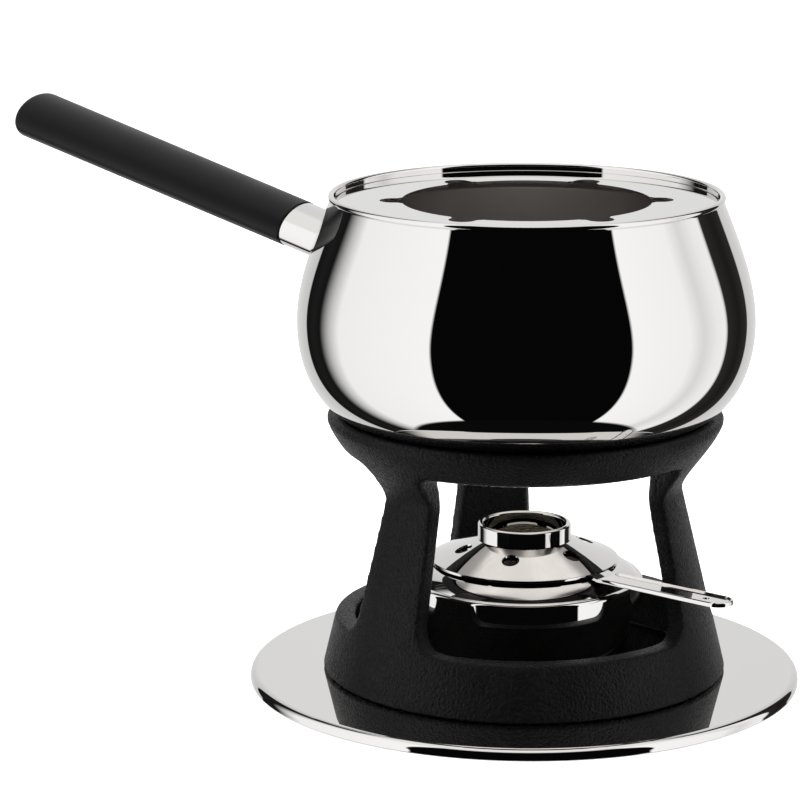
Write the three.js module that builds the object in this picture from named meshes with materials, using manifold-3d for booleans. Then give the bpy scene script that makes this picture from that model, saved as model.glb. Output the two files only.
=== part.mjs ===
// A fondue pot set: a round steel plate, a cast-iron stand on three legs, a spirit burner with a
// turning regulator, and a steel pot with a fork ring in its mouth and a long oval handle.
// Millimetres, +Z up. Each piece is drawn round the pot's axis, and the handle points along -X. At the
// end the whole set is moved so that the origin is the middle of its own footprint on the table.
import * as THREE from "three";
import { mergeVertices } from "three/addons/utils/BufferGeometryUtils.js";
import Module from "manifold-3d";

const wasm = await Module();
wasm.setup();

// ---------------------------------------------------------------- driving dimensions

const gap = 0.3; // between pieces that touch
const segments = 48; // sides of the large turned pieces
const smallSegments = 36; // sides of the burner's turned pieces

const plateRadius = 130;
const plateHeight = 5;
const plateSheet = 1.5;
const plateEdgeRound = 3.5;

// The stand's heights are measured from its own foot.
const standHeight = 123.4;
const standWaistHeight = 89.5;
const standSillHeight = 25.7;
const standRingDepth = 16.5;
const standFootRadius = 95.4;
const standWaistStep = 19.2; // how much slimmer the waist is than the ring
const standWall = 10;
const standWaistWall = 9;
const standLipWidth = 6.3; // from the bowl to the ring's outside, at the ring's top
const standLipRound = 2.2;
const standTurn = 9.5; // degrees from +X to the first leg
const legCount = 3;
const legHalfAngle = 14; // at the sill
const legTopHalfAngle = 12.3; // at the ring
const windowCornerRadius = 14;
const windowTopRadius = 7;
const lugRadius = 3.6;
const seatClearance = 1.6; // between the dish and the bowl

// The burner's heights are measured from the underside of its tank.
const skirtRadius = 56;
const skirtBottomHeight = 33.2;
const skirtRound = 2;
const coverSheet = 1;
const domeFootHeight = 44.3;
const domeTopHeight = 50.7;
const domeBulge = 0.9;
const tankInset = 6; // from the skirt's outside to the tank's
const tankFootRound = 7;
const tankWall = 1;
const waddingHeight = 30;
const gauzeThickness = 0.8;
const coneRimRadius = 44.5;
const coneRimHeight = 52.5; // upper edge of the rim
const coneRise = 9;
const coneSheet = 1;
const coneClearance = 0.8; // down to the cover's own cone
const airHoleRadius = 4.1;
const airHoleInset = 8; // from the collar's outside to the middle of a hole
const airHoleCount = 6;
const airHoleTurn = -14.6; // degrees from +X to the first hole
const collarBore = 19.3;
const collarWall = 2.7;
const collarHeight = 8;
const collarNeckWall = 1.1;
const collarHoleClearance = 0.4;
const collarFlange = 2.2;
const collarFlangeThickness = 0.8;
const leverBesideLeg = 6; // degrees from the leg's side to the middle of the lever, at rest
const leverWidth = 14;
const leverThickness = 1.2;
const leverDrop = 1.4; // from the cone's rim down to the top of the lever
const leverRootDrop = 0.4; // the same, where the lever leaves the rim
const leverStep = 4.2; // how far the lever slopes down before it runs level
const leverReach = 118.5;
const leverRibWidth = 1.5;
const leverRibHeight = 0.9;
const leverHoleRadius = 1.6;
const leverHoleInset = 13.5; // from the tip

// The pot's heights are measured from the underside of its bowl.
const potSink = 8.9; // how far the bowl's underside lies below the top of the stand
const potHeight = 112.1;
const potBellyRadius = 106.7;
const potBellyHeight = 52.2;
const potFlatRadius = 52;
const potWall = 1.2;
const potMouthStep = 15.8; // how much slimmer the mouth is than the belly
const potLipRadius = 1.5;
const mouthWall = 2.1; // the wall beside the fork ring
const mouthDepth = 5.1; // from the rim down to the ledge that holds the fork ring
const ledgeWidth = 2.4;
const baseCoreRadius = 62;
const baseCapSheet = 1;
const baseThickness = 5.8;
const baseClearance = 3.2; // between the base and the hole in the dish

const forkRingPlay = 0.4;
const forkRingThickness = 1.2;
const forkRingOpening = 58;
const forkNotchDepth = 10;
const forkNotchHalfWidth = 6.2;
const forkNotchMouthRound = 2;
const forkNotchCount = 6;
const forkNotchTurn = 30; // degrees from +X to the first notch

const handleTilt = 15.7; // degrees above the horizontal
const handleRootDrop = 31.5; // from the rim down to the handle's middle at the bowl
const ferruleReach = 23; // from the bowl to the ferrule's outer end
const ferruleInset = 0.25; // the ferrule is this much slimmer than the grip
const ferruleWall = 1.4;
const gripLength = 161;
const gripHalfHeight = 11;
const gripHalfWidth = 18.2;
const gripSwell = 1.035; // how much thicker the far end is
const gripEndRound = 4;
const rodRadius = 3;
const rodBoreClearance = 0.4;
const rodHeadRadius = 5.5;
const rodHeadHeight = 5;
const rodHeadDepth = 12; // from the grip's end down to the washer's seat
const rodEngagement = 10; // how far the rod goes into the bracket
const washerThickness = 1.2;
const plugRadius = 7.4;
const plugDepth = 4;
const plugDome = 1.6;

// ---------------------------------------------------------------- materials

const finish = (color, roughness, metalness) =>
  new THREE.MeshStandardMaterial({ color, roughness, metalness });
const polishedSteel = finish("#d9d9d6", 0.06, 1);
const castIron = finish("#1d1d1e", 0.75, 0.2);
const aluminium = finish("#c4c6c8", 0.35, 1);
const blackPlastic = finish("#161617", 0.45, 0);
const plainSteel = finish("#9c9c9a", 0.3, 1);
const brassGauze = finish("#8e8a80", 0.5, 1);
const wool = finish("#e6e1d4", 0.95, 0);

// ---------------------------------------------------------------- shapes and booleans

const radians = THREE.MathUtils.degToRad;
const point = (r, z) => new THREE.Vector2(r, z);

// Points on an arc round (r, z), from one angle in degrees to another.
function arc(r, z, radius, from, to, steps = 6) {
  return Array.from({ length: steps + 1 }, (_, i) => {
    const angle = radians(from + ((to - from) * i) / steps);
    return point(r + radius * Math.cos(angle), z + radius * Math.sin(angle));
  });
}

// Points on a curve given by its two ends and two handles.
function bezier(a, b, c, d, steps) {
  return new THREE.CubicBezierCurve(a, b, c, d).getPoints(steps);
}

// The same row of points moved sideways: positive moves to the left of its direction.
function offset(points, distance) {
  return points.map((p, i) => {
    const before = points[Math.max(i - 1, 0)];
    const after = points[Math.min(i + 1, points.length - 1)];
    const along = after.clone().sub(before).normalize();
    return point(p.x - along.y * distance, p.y + along.x * distance);
  });
}

// A closed three.js geometry becomes a solid that can be cut and joined.
function solid(geometry) {
  const bare = geometry.index ? geometry.toNonIndexed() : geometry.clone();
  bare.deleteAttribute("normal");
  bare.deleteAttribute("uv");
  const merged = mergeVertices(bare, 1e-4);
  const place = merged.attributes.position.array;
  const corners = [];
  let volume = 0;
  const at = (i) => new THREE.Vector3(place[3 * i], place[3 * i + 1], place[3 * i + 2]);
  for (let i = 0; i < merged.index.count; i += 3) {
    const [a, b, c] = [0, 1, 2].map((k) => merged.index.getX(i + k));
    if (a === b || b === c || c === a) continue;
    corners.push([a, b, c]);
    volume += at(a).dot(at(b).cross(at(c)));
  }
  const outward = volume > 0 ? corners : corners.map(([a, b, c]) => [a, c, b]);
  return new wasm.Manifold(
    new wasm.Mesh({
      numProp: 3,
      vertProperties: new Float32Array(place),
      triVerts: new Uint32Array(outward.flat()),
    }),
  );
}

// A solid becomes a three.js geometry again.
function geometryOf(body) {
  const mesh = body.getMesh();
  const geometry = new THREE.BufferGeometry();
  geometry.setAttribute("position", new THREE.BufferAttribute(mesh.vertProperties, 3));
  geometry.setIndex(new THREE.BufferAttribute(mesh.triVerts, 1));
  geometry.computeVertexNormals();
  return geometry;
}

// Turns a profile of (radius, height) points round the Z axis. The profile closes on itself.
function turned(profile, sides = segments) {
  const outline = [...profile, profile[0].clone()];
  return solid(new THREE.LatheGeometry(outline, sides).rotateX(Math.PI / 2));
}

// A straight cylinder on the Z axis, from one height to another.
function rod(radius, from, to, sides = 24) {
  const geometry = new THREE.CylinderGeometry(radius, radius, to - from, sides);
  return solid(geometry.rotateX(Math.PI / 2).translate(0, 0, (from + to) / 2));
}

// A flat outline in X and Y given a thickness, from one height to another.
function slab(shape, from, to, curveSegments = 8) {
  const settings = { depth: to - from, bevelEnabled: false, curveSegments };
  return solid(new THREE.ExtrudeGeometry(shape, settings).translate(0, 0, from));
}

const aroundZ = (body, degrees) => body.rotate([0, 0, degrees]);

const set = new THREE.Group();

function add(name, body, material, parent = set) {
  const mesh = new THREE.Mesh(geometryOf(body), material);
  mesh.name = name;
  parent.add(mesh);
  return mesh;
}

// ---------------------------------------------------------------- plate

function plate() {
  const foot = plateRadius - plateSheet;
  const inner = Math.max(plateEdgeRound - plateSheet, 0.5);
  return turned([
    point(0, plateHeight),
    ...arc(plateRadius - plateEdgeRound, plateHeight - plateEdgeRound, plateEdgeRound, 90, 0, 4),
    point(plateRadius, 0),
    point(foot, 0),
    ...arc(foot - inner, plateHeight - plateSheet - inner, inner, 0, 90, 2),
    point(0, plateHeight - plateSheet),
  ]);
}
add("base_plate", plate(), polishedSteel);

// ---------------------------------------------------------------- where things stand

const standFoot = plateHeight + gap;
const standWaist = standFoot + standWaistHeight;
const standTop = standFoot + standHeight;
const ringBottom = standTop - standRingDepth;
const potBottom = standTop - potSink;
const potRim = potBottom + potHeight;
const potBelly = potBottom + potBellyHeight;
const baseCapRadius = baseCoreRadius + gap + baseCapSheet;

// ---------------------------------------------------------------- the bowl's outline

const potMouthRadius = potBellyRadius - potMouthStep;
const mouthRadius = potMouthRadius - mouthWall;
const potShoulder = potRim - 2 * potLipRadius;
const bellyFullness = (potBelly - potBottom) * 0.377; // how upright the bowl is under the belly
const baseFullness = (potBellyRadius - potFlatRadius) * 0.866; // how flat it is by the base
const shoulderRise = (potShoulder - potBelly) * 0.316; // how upright it is over the belly

// The underside of the bowl, from the flat bottom round to the belly.
const lowerBowl = bezier(
  point(potFlatRadius, potBottom),
  point(potFlatRadius + baseFullness, potBottom),
  point(potBellyRadius, potBelly - bellyFullness),
  point(potBellyRadius, potBelly),
  8,
);
// From the belly up to the mouth.
const upperBowl = bezier(
  point(potBellyRadius, potBelly),
  point(potBellyRadius, potBelly + shoulderRise),
  point(potMouthRadius + potMouthStep * 0.544, potShoulder - shoulderRise * 1.194),
  point(potMouthRadius, potShoulder),
  5,
);
const bowlOutline = [...lowerBowl, ...upperBowl.slice(1)];

// The outside radius of the bowl at a height.
function bowlRadiusAt(height) {
  const above = Math.max(bowlOutline.findIndex((p) => p.y > height), 1);
  const [a, b] = [bowlOutline[above - 1], bowlOutline[above]];
  return a.x + ((b.x - a.x) * (height - a.y)) / (b.y - a.y);
}

// The whole bowl as one solid lump, grown by a clearance, for cutting what fits against it.
function bowlLump(clearance) {
  const grown = offset(bowlOutline, -clearance);
  return turned([
    point(0, potBottom - clearance),
    ...grown,
    point(grown.at(-1).x, potRim + clearance),
    point(0, potRim + clearance),
  ]);
}

// ---------------------------------------------------------------- stand

const standRingRadius = bowlRadiusAt(standTop) + standLipWidth;
const standWaistRadius = standRingRadius - standWaistStep;
const dishHoleRadius = baseCapRadius + baseClearance;
const sill = standFoot + standSillHeight;

// The window between two legs: an outline unrolled at the sill, bent round the axis.
function windowCutter() {
  const reference = standFootRadius - 6;
  const halfPitch = 180 / legCount;
  const bottom = radians(halfPitch - legHalfAngle) * reference;
  const top = radians(halfPitch - legTopHalfAngle) * reference;
  const shape = new THREE.Shape();
  shape.moveTo(-bottom + windowCornerRadius, sill);
  shape.lineTo(bottom - windowCornerRadius, sill);
  shape.quadraticCurveTo(bottom, sill, bottom, sill + windowCornerRadius);
  shape.lineTo(top, ringBottom - windowTopRadius);
  shape.quadraticCurveTo(top, ringBottom, top - windowTopRadius, ringBottom);
  shape.lineTo(-top + windowTopRadius, ringBottom);
  shape.quadraticCurveTo(-top, ringBottom, -top, ringBottom - windowTopRadius);
  shape.lineTo(-bottom, sill + windowCornerRadius);
  shape.quadraticCurveTo(-bottom, sill, -bottom + windowCornerRadius, sill);
  const inside = standWaistRadius / 2;
  const outside = standRingRadius * 1.8;
  const settings = { depth: outside - inside, bevelEnabled: false, curveSegments: 7 };
  const geometry = new THREE.ExtrudeGeometry(shape, settings);
  const place = geometry.attributes.position;
  for (let i = 0; i < place.count; i += 1) {
    const angle = place.getX(i) / reference;
    const radius = inside + place.getZ(i);
    place.setXYZ(i, radius * Math.cos(angle), radius * Math.sin(angle), place.getY(i));
  }
  return solid(geometry);
}

// The casting's own section: base ring, conical wall, waist, and the dish that holds the pot.
function standBlank() {
  const waist = point(standWaistRadius, standWaist);
  const lip = standTop - standLipRound;
  const flare = (standRingRadius - standWaistRadius) * 0.36;
  const outside = [
    point(standFootRadius, standFoot),
    point((standFootRadius + standWaistRadius) / 2, (standFoot + standWaist) / 2),
    ...bezier(
      waist,
      point(standWaistRadius + flare * 0.26, standWaist + flare * 1.18),
      point(standRingRadius - flare * 0.42, lip - flare * 1.52),
      point(standRingRadius, lip),
      8,
    ),
  ];
  const dish = offset(lowerBowl, -seatClearance).filter(
    (p) => p.x > dishHoleRadius + 0.5 && p.y < lip - 0.5,
  );
  const inside = [
    point(dishHoleRadius, dish[0].y),
    point(dishHoleRadius, ringBottom),
    point(standWaistRadius - standWaistWall, standWaist),
    point(standFootRadius - standWall, standFoot),
  ];
  return turned([
    ...outside,
    ...arc(standRingRadius - standLipRound, lip, standLipRound, 30, 90, 2),
    ...arc(dish.at(-1).x + standLipRound, lip, standLipRound, 90, 150, 2),
    ...dish.reverse(),
    ...inside,
  ]);
}

function stand() {
  let body = standBlank();
  const keepClear = bowlLump(gap);
  for (let i = 0; i < legCount; i += 1) {
    const leg = standTurn + (360 / legCount) * i;
    body = body.subtract(aroundZ(windowCutter(), leg + 180 / legCount));
    const lug = solid(new THREE.SphereGeometry(lugRadius, 12, 8)).translate([
      bowlRadiusAt(standTop - lugRadius) + seatClearance, 0, standTop - lugRadius,
    ]);
    body = body.add(aroundZ(lug, leg));
  }
  return body.subtract(keepClear);
}
add("stand_casting", stand(), castIron);

// ---------------------------------------------------------------- burner

const tankFoot = plateHeight + gap;
const tankRadius = skirtRadius - tankInset;
const tankInner = tankRadius - tankWall;
const skirtBottom = tankFoot + skirtBottomHeight;
const domeFoot = point(skirtRadius - skirtRound - 0.2, tankFoot + domeFootHeight);
const domeTop = point(coneRimRadius - 1.9, tankFoot + domeTopHeight);

// The outer face of the regulator's cone, and the height on it at any radius.
const coneRim = tankFoot + coneRimHeight;
const collarRadius = collarBore + collarWall;
const coneSlope = coneRise / (coneRimRadius - collarRadius);
const coneHeightAt = (radius) => coneRim + (coneRimRadius - radius) * coneSlope;
const coneDrop = coneSheet * Math.hypot(1, coneSlope); // the sheet's thickness, measured upright
const innerConeDrop = coneDrop + coneClearance; // from the regulator's cone to the cover's

// The tank's rim stops just under the cover, which rests on it: under the dome, or under the
// cover's cone where the tank is slimmer than that.
const domeShare = (domeFoot.x - tankRadius) / (domeFoot.x - domeTop.x);
const coverAtTank = domeShare < 1
  ? domeFoot.y + (domeTop.y - domeFoot.y) * domeShare
  : Math.min(domeTop.y, coneHeightAt(tankRadius) - innerConeDrop);
const tankTop = coverAtTank - coverSheet * 1.15 - gap;

function tank() {
  const innerRound = tankFootRound - tankWall;
  return turned([
    point(0, tankFoot),
    ...arc(tankRadius - tankFootRound, tankFoot + tankFootRound, tankFootRound, -90, 0, 3),
    point(tankRadius, tankTop),
    point(tankInner, tankTop),
    ...arc(tankRadius - tankFootRound, tankFoot + tankFootRound, innerRound, 0, -90, 2),
    point(0, tankFoot + tankWall),
  ], smallSegments);
}
add("burner_tank", tank(), polishedSteel);

// The wadding fills the tank, and the gauze lies on it.
const waddingBottom = tankFoot + tankWall + gap;
const waddingTop = waddingBottom + waddingHeight;
const fillRadius = tankInner - gap;
add(
  "wadding",
  turned([
    point(0, waddingBottom),
    point(fillRadius - tankFootRound, waddingBottom),
    point(fillRadius, waddingBottom + tankFootRound),
    point(fillRadius, waddingTop),
    point(0, waddingTop),
  ], smallSegments),
  wool,
);
add("gauze_disc", rod(fillRadius, waddingTop + gap, waddingTop + gap + gauzeThickness, 48), brassGauze);

const collarNeckRadius = collarBore + collarNeckWall;
const collarHole = collarNeckRadius + collarHoleClearance;
const coneTop = coneHeightAt(collarHole);

// Cuts one ring of air holes through a cone.
function withAirHoles(body) {
  let drilled = body;
  for (let i = 0; i < airHoleCount; i += 1) {
    const hole = rod(airHoleRadius, domeTop.y - 4, coneTop + 4, 14);
    const place = hole.translate([collarRadius + airHoleInset, 0, 0]);
    drilled = drilled.subtract(aroundZ(place, airHoleTurn + (360 / airHoleCount) * i));
  }
  return drilled;
}

// The cover: a skirt over the tank, a low dome, and a cone of its own under the regulator.
function cover() {
  const coneFoot = domeTop.x - 1.6;
  const domeCrown = point((domeFoot.x + domeTop.x) / 2, (domeFoot.y + domeTop.y) / 2 + domeBulge * 2);
  const outside = [
    point(skirtRadius, skirtBottom),
    ...arc(skirtRadius - skirtRound, domeFoot.y - skirtRound, skirtRound, 0, 90, 3),
    ...new THREE.QuadraticBezierCurve(point(domeFoot.x - 0.4, domeFoot.y + 0.1), domeCrown, domeTop).getPoints(3),
    point(coneFoot, coneHeightAt(coneFoot) - innerConeDrop),
    point(collarHole, coneHeightAt(collarHole) - innerConeDrop),
  ];
  const inside = offset(outside, coverSheet).reverse();
  inside[0] = point(collarHole, inside[0].y);
  return withAirHoles(turned([...outside, ...inside], smallSegments));
}
add("burner_cover", cover(), polishedSteel);

// ---------------------------------------------------------------- regulator

function regulatorCone() {
  const inner = coneRimRadius - coneSheet;
  return withAirHoles(turned([
    point(collarHole, coneHeightAt(collarHole)),
    point(coneRimRadius - 0.6, coneHeightAt(coneRimRadius - 0.6)),
    point(coneRimRadius, coneRim - 0.4),
    point(coneRimRadius - 0.2, coneRim - coneDrop),
    point(inner, coneHeightAt(inner) - coneDrop),
    point(collarHole, coneHeightAt(collarHole) - coneDrop),
  ], smallSegments));
}
add("regulator_cone", regulatorCone(), polishedSteel);

// The collar stands on the cone, and its neck and flange hold the cone to the cover.
function collar() {
  const top = coneHeightAt(collarRadius) + collarHeight;
  const lip = collarWall / 2;
  const flangeRadius = collarNeckRadius + collarFlange;
  const flangeTop = coneHeightAt(flangeRadius) - innerConeDrop - coverSheet * 1.1 - gap;
  const flangeBottom = flangeTop - collarFlangeThickness;
  return turned([
    point(collarRadius, coneHeightAt(collarRadius) + gap),
    ...arc(collarRadius - lip, top - lip, lip, 0, 180, 5),
    point(collarBore, flangeBottom),
    point(flangeRadius, flangeBottom),
    point(flangeRadius, flangeTop),
    point(collarNeckRadius, flangeTop),
    point(collarNeckRadius, coneHeightAt(collarNeckRadius) + gap),
  ], smallSegments);
}
add("regulator_collar", collar(), polishedSteel);

// A strip with a round tip: its outline seen from above, drawn along +X.
function stripOutline(from, to, halfWidth) {
  const shape = new THREE.Shape();
  shape.moveTo(from, -halfWidth);
  shape.lineTo(to - halfWidth, -halfWidth);
  shape.absarc(to - halfWidth, 0, halfWidth, -Math.PI / 2, Math.PI / 2, false);
  shape.lineTo(from, halfWidth);
  shape.closePath();
  return shape;
}

// The lever: it leaves the cone's rim, slopes down a little and runs level as a strip with
// raised edges, a round tip and a hole. Its root follows the rim.
const leverAngle = standTurn - legHalfAngle - leverBesideLeg;
const leverTop = coneRim - leverDrop;
function lever() {
  const half = leverWidth / 2;
  const root = coneRimRadius - half;
  const rootTop = coneRim - leverRootDrop;
  const level = coneRimRadius + gap + leverStep;
  const side = new THREE.Shape([
    point(root, rootTop - leverThickness),
    point(coneRimRadius + gap, rootTop - leverThickness),
    point(level, leverTop - leverThickness),
    point(leverReach, leverTop - leverThickness),
    point(leverReach, leverTop),
    point(level, leverTop),
    point(coneRimRadius + gap, rootTop),
    point(root, rootTop),
  ]);
  const strip = slab(side, -half, half).rotate([90, 0, 0]);
  const outline = slab(stripOutline(root, leverReach, half), 0, coneTop * 2, 12);
  const ribOuter = slab(
    stripOutline(level + leverRibWidth, leverReach, half),
    leverTop - gap, leverTop + leverRibHeight, 12,
  );
  const ribInner = slab(
    stripOutline(level, leverReach - leverRibWidth, half - leverRibWidth), 0, coneTop * 2, 12,
  );
  const hole = rod(leverHoleRadius, 0, coneTop * 2, 16).translate([
    leverReach - leverHoleInset, 0, 0,
  ]);
  const keepClear = rod(coneRimRadius + gap, 0, coneTop * 2, 2 * segments);
  return strip.intersect(outline).add(ribOuter.subtract(ribInner)).subtract(hole)
    .subtract(keepClear);
}
add("regulator_lever", aroundZ(lever(), leverAngle), polishedSteel);

// ---------------------------------------------------------------- pot

function bowl() {
  const lipCentre = potRim - potLipRadius;
  const lipRadius = mouthRadius + potLipRadius;
  const ledge = potRim - mouthDepth;
  const ledgeInner = mouthRadius - ledgeWidth;
  const inner = offset(bowlOutline, potWall).filter((p, i) => i % 2 === 0 && p.y < ledge - ledgeWidth * 2.5);
  return turned([
    point(0, potBottom),
    ...bowlOutline,
    ...arc(lipRadius, lipCentre, potLipRadius, -30, 180, 6),
    point(mouthRadius, ledge),
    point(ledgeInner, ledge),
    point(ledgeInner, ledge - 1),
    ...inner.reverse(),
    point(0, potBottom + potWall),
  ]);
}
add("pot_bowl", bowl(), polishedSteel);

// The thick base: an aluminium disc in a steel cap, on the bottom of the bowl.
const baseCapBottom = potBottom - baseThickness;
const baseCoreBottom = baseCapBottom + baseCapSheet + gap;
add("pot_base_core", rod(baseCoreRadius, baseCoreBottom, potBottom - gap, segments), aluminium);
add(
  "pot_base_cap",
  turned([
    point(0, baseCapBottom),
    point(baseCapRadius - 2, baseCapBottom),
    point(baseCapRadius, baseCapBottom + 2),
    point(baseCapRadius, potBottom - gap),
    point(baseCapRadius - baseCapSheet, potBottom - gap),
    point(baseCapRadius - baseCapSheet, baseCoreBottom - gap),
    point(0, baseCoreBottom - gap),
  ]),
  polishedSteel,
);

// The fork ring: a flat disc on the ledge, its opening widened by six notches for the forks.
function forkRing() {
  const bottom = potRim - mouthDepth + gap;
  const top = bottom + forkRingThickness;
  const edge = forkRingThickness / 2;
  const forkRingRadius = mouthRadius - forkRingPlay;
  let body = turned([
    point(forkRingOpening, bottom),
    ...arc(forkRingRadius - edge, bottom + edge, edge, -90, 90, 2),
    point(forkRingOpening, top),
  ]);
  const notch = new THREE.Shape();
  const round = forkNotchMouthRound;
  const half = forkNotchHalfWidth;
  const mouth = Math.sqrt(forkRingOpening ** 2 - (half + round) ** 2);
  notch.moveTo(mouth - 4, -half - round);
  notch.lineTo(mouth, -half - round);
  notch.quadraticCurveTo(mouth + round, -half, mouth + 2 * round, -half);
  notch.absarc(forkRingOpening + forkNotchDepth - half, 0, half, -Math.PI / 2, Math.PI / 2, false);
  notch.lineTo(mouth + 2 * round, half);
  notch.quadraticCurveTo(mouth + round, half, mouth, half + round);
  notch.lineTo(mouth - 4, half + round);
  notch.closePath();
  for (let i = 0; i < forkNotchCount; i += 1) {
    const cutter = slab(notch, bottom - 1, top + 1, 7);
    body = body.subtract(aroundZ(cutter, forkNotchTurn + (360 / forkNotchCount) * i));
  }
  return body;
}
add("fork_ring", forkRing(), polishedSteel);

// ---------------------------------------------------------------- handle

// The handle's own frame: its Z axis runs outwards along the grip, its X axis is level and its
// origin is the middle of the joint between ferrule and grip.
const tilt = radians(handleTilt);
const rootHeight = potRim - handleRootDrop;
const handle = new THREE.Group();
handle.position.set(
  -bowlRadiusAt(rootHeight) - ferruleReach * Math.cos(tilt),
  0,
  rootHeight + ferruleReach * Math.sin(tilt),
);
handle.quaternion.setFromRotationMatrix(
  new THREE.Matrix4().makeBasis(
    new THREE.Vector3(0, -1, 0),
    new THREE.Vector3(Math.sin(tilt), 0, Math.cos(tilt)),
    new THREE.Vector3(-Math.cos(tilt), 0, Math.sin(tilt)),
  ),
);
handle.updateMatrixWorld(true);
set.add(handle);

// The bowl, grown by a clearance, as it stands in the handle's frame.
const toHandle = handle.matrixWorld.clone().invert();
const bowlForHandle = bowlLump(gap).transform(toHandle.elements);

// A profile drawn at the grip's half height becomes an oval one.
const oval = (body) => body.scale([gripHalfWidth / gripHalfHeight, 1, 1]);
const rodBore = rodRadius + rodBoreClearance;
const washerSeat = gripLength - rodHeadDepth;

function grip() {
  const farHalfHeight = gripHalfHeight * gripSwell;
  const body = oval(turned([
    point(0, gap),
    point(gripHalfHeight, gap),
    point(gripHalfHeight * (1 + gripSwell) / 2, gripLength / 2),
    ...arc(farHalfHeight - gripEndRound, gripLength - gripEndRound, gripEndRound, 0, 90, 5),
    point(0, gripLength),
  ], 40));
  const bore = rod(rodBore, -1, gripLength + 1);
  const headRoom = rod(rodHeadRadius + 1 + gap, washerSeat, gripLength + 1, 32);
  const plugRoom = rod(plugRadius + gap, gripLength - plugDepth, gripLength + 1, 32);
  return body.subtract(bore).subtract(headRoom).subtract(plugRoom);
}
add("handle_grip", grip(), blackPlastic, handle);

function ferrule() {
  const outer = gripHalfHeight - ferruleInset;
  const ferruleLength = ferruleReach + 4; // past the bowl's face, which then trims it
  const shape = (inset) => oval(turned([
    point(0, -ferruleLength),
    point(outer - inset, -ferruleLength),
    point(outer - inset, -gap / 2),
    point(0, -gap / 2),
  ], 40));
  const hollow = shape(ferruleWall).translate([0, 0, 1]).add(shape(ferruleWall).translate([0, 0, -1]));
  return shape(0).subtract(hollow).subtract(bowlForHandle);
}
add("handle_ferrule", ferrule(), polishedSteel, handle);

// The bracket is welded to the bowl inside the ferrule, and the rod screws into it.
const bracketRim = gripHalfHeight - ferruleInset - ferruleWall - gap * 2;
const bracketEnd = -3;
function bracket() {
  const body = oval(turned([
    point(0, -ferruleReach - 4),
    point(bracketRim, -ferruleReach - 4),
    point(bracketRim, bracketEnd),
    point(0, bracketEnd),
  ], 32));
  const thread = rod(rodRadius + gap, bracketEnd - rodEngagement - 1, 0);
  return body.subtract(bowlForHandle).subtract(thread);
}
add("handle_bracket", bracket(), plainSteel, handle);

const washerTop = washerSeat + gap + washerThickness;
const headBottom = washerTop + gap;
function tieRod() {
  const shank = rod(rodRadius, bracketEnd - rodEngagement, headBottom + 0.1);
  const head = rod(rodHeadRadius, headBottom, headBottom + rodHeadHeight, 20);
  const socket = rod(3, headBottom + 2, headBottom + rodHeadHeight + 1, 6);
  return shank.add(head).subtract(socket);
}
add("handle_tie_rod", tieRod(), plainSteel, handle);
add(
  "handle_washer",
  rod(rodHeadRadius + 0.7, washerSeat + gap, washerTop, 20).subtract(rod(rodRadius + gap, 0, gripLength)),
  plainSteel,
  handle,
);
add(
  "handle_end_plug",
  turned([
    point(0, gripLength - plugDepth + gap),
    point(plugRadius, gripLength - plugDepth + gap),
    point(plugRadius, gripLength - 0.2),
    ...arc(0, 0, plugRadius - 0.4, 0, 90, 3).map((p) =>
      point(p.x, gripLength + (p.y / plugRadius) * plugDome)),
  ], 24),
  blackPlastic,
  handle,
);

// ---------------------------------------------------------------- the set's own origin

const footprint = new THREE.Box3().setFromObject(set, true);
set.position.x = -(footprint.min.x + footprint.max.x) / 2;
set.updateMatrixWorld(true);

export default set;
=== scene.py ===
# %% [markdown]
# # A fondue pot set
# A polished steel fondue pot hangs in a cast-iron stand, over a spirit burner, on a steel plate.
# The measured CAD model is loaded first. It fixes every size and place, and it knows what moves.
# This lesson then gives each piece the shape and the finish that the eye expects.

# %% Load the measured frame
import math
import bmesh
import bpy
import numpy as np
from mathutils import Matrix, Vector


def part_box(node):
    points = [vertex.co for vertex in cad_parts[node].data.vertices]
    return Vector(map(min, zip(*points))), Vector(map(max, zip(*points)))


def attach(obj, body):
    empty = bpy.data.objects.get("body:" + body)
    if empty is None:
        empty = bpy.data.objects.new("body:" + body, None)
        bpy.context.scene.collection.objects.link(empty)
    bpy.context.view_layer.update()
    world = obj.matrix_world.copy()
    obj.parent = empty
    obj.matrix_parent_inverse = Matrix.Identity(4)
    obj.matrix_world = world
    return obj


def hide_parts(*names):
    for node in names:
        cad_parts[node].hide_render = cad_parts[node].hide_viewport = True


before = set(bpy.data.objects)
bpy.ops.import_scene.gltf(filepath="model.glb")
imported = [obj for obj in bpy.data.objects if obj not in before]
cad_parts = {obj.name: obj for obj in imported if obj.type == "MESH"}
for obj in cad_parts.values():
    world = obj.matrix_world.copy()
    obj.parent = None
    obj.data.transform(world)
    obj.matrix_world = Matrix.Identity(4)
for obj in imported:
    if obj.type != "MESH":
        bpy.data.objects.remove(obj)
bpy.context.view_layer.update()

# %% [markdown]
# The pot, the stand and the burner are all round, and they share one upright axis.
# The plate is centred on it, so the plate's box says where the axis is.
# Sizes below are in millimetres, as on a drawing. Blender works in metres, so places are
# multiplied by MM at the last moment.

# %% The common axis and two ways of asking for a height
MM = 0.001
plate_low, plate_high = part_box("base_plate")
AXIS = Vector(((plate_low.x + plate_high.x) / 2, 0, 0))


def bottom(node_name):
    """The lowest height of a CAD piece, in millimetres."""
    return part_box(node_name)[0].z / MM


def top(node_name):
    """The highest height of a CAD piece, in millimetres."""
    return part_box(node_name)[1].z / MM


def widest(node_name):
    """Half of a round CAD piece's width, in millimetres."""
    low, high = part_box(node_name)
    return (high.y - low.y) / 2 / MM


print(f"the axis stands at x = {AXIS.x * 1000:.1f} mm, the rim is {top('pot_bowl'):.1f} mm up")

# %% [markdown]
# Colours are written as they look on a screen. A shader works with light, which is linear, so
# one function turns a hex value into what the sockets expect.
# One more function adds a node, with its settings and what feeds its sockets.

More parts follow.
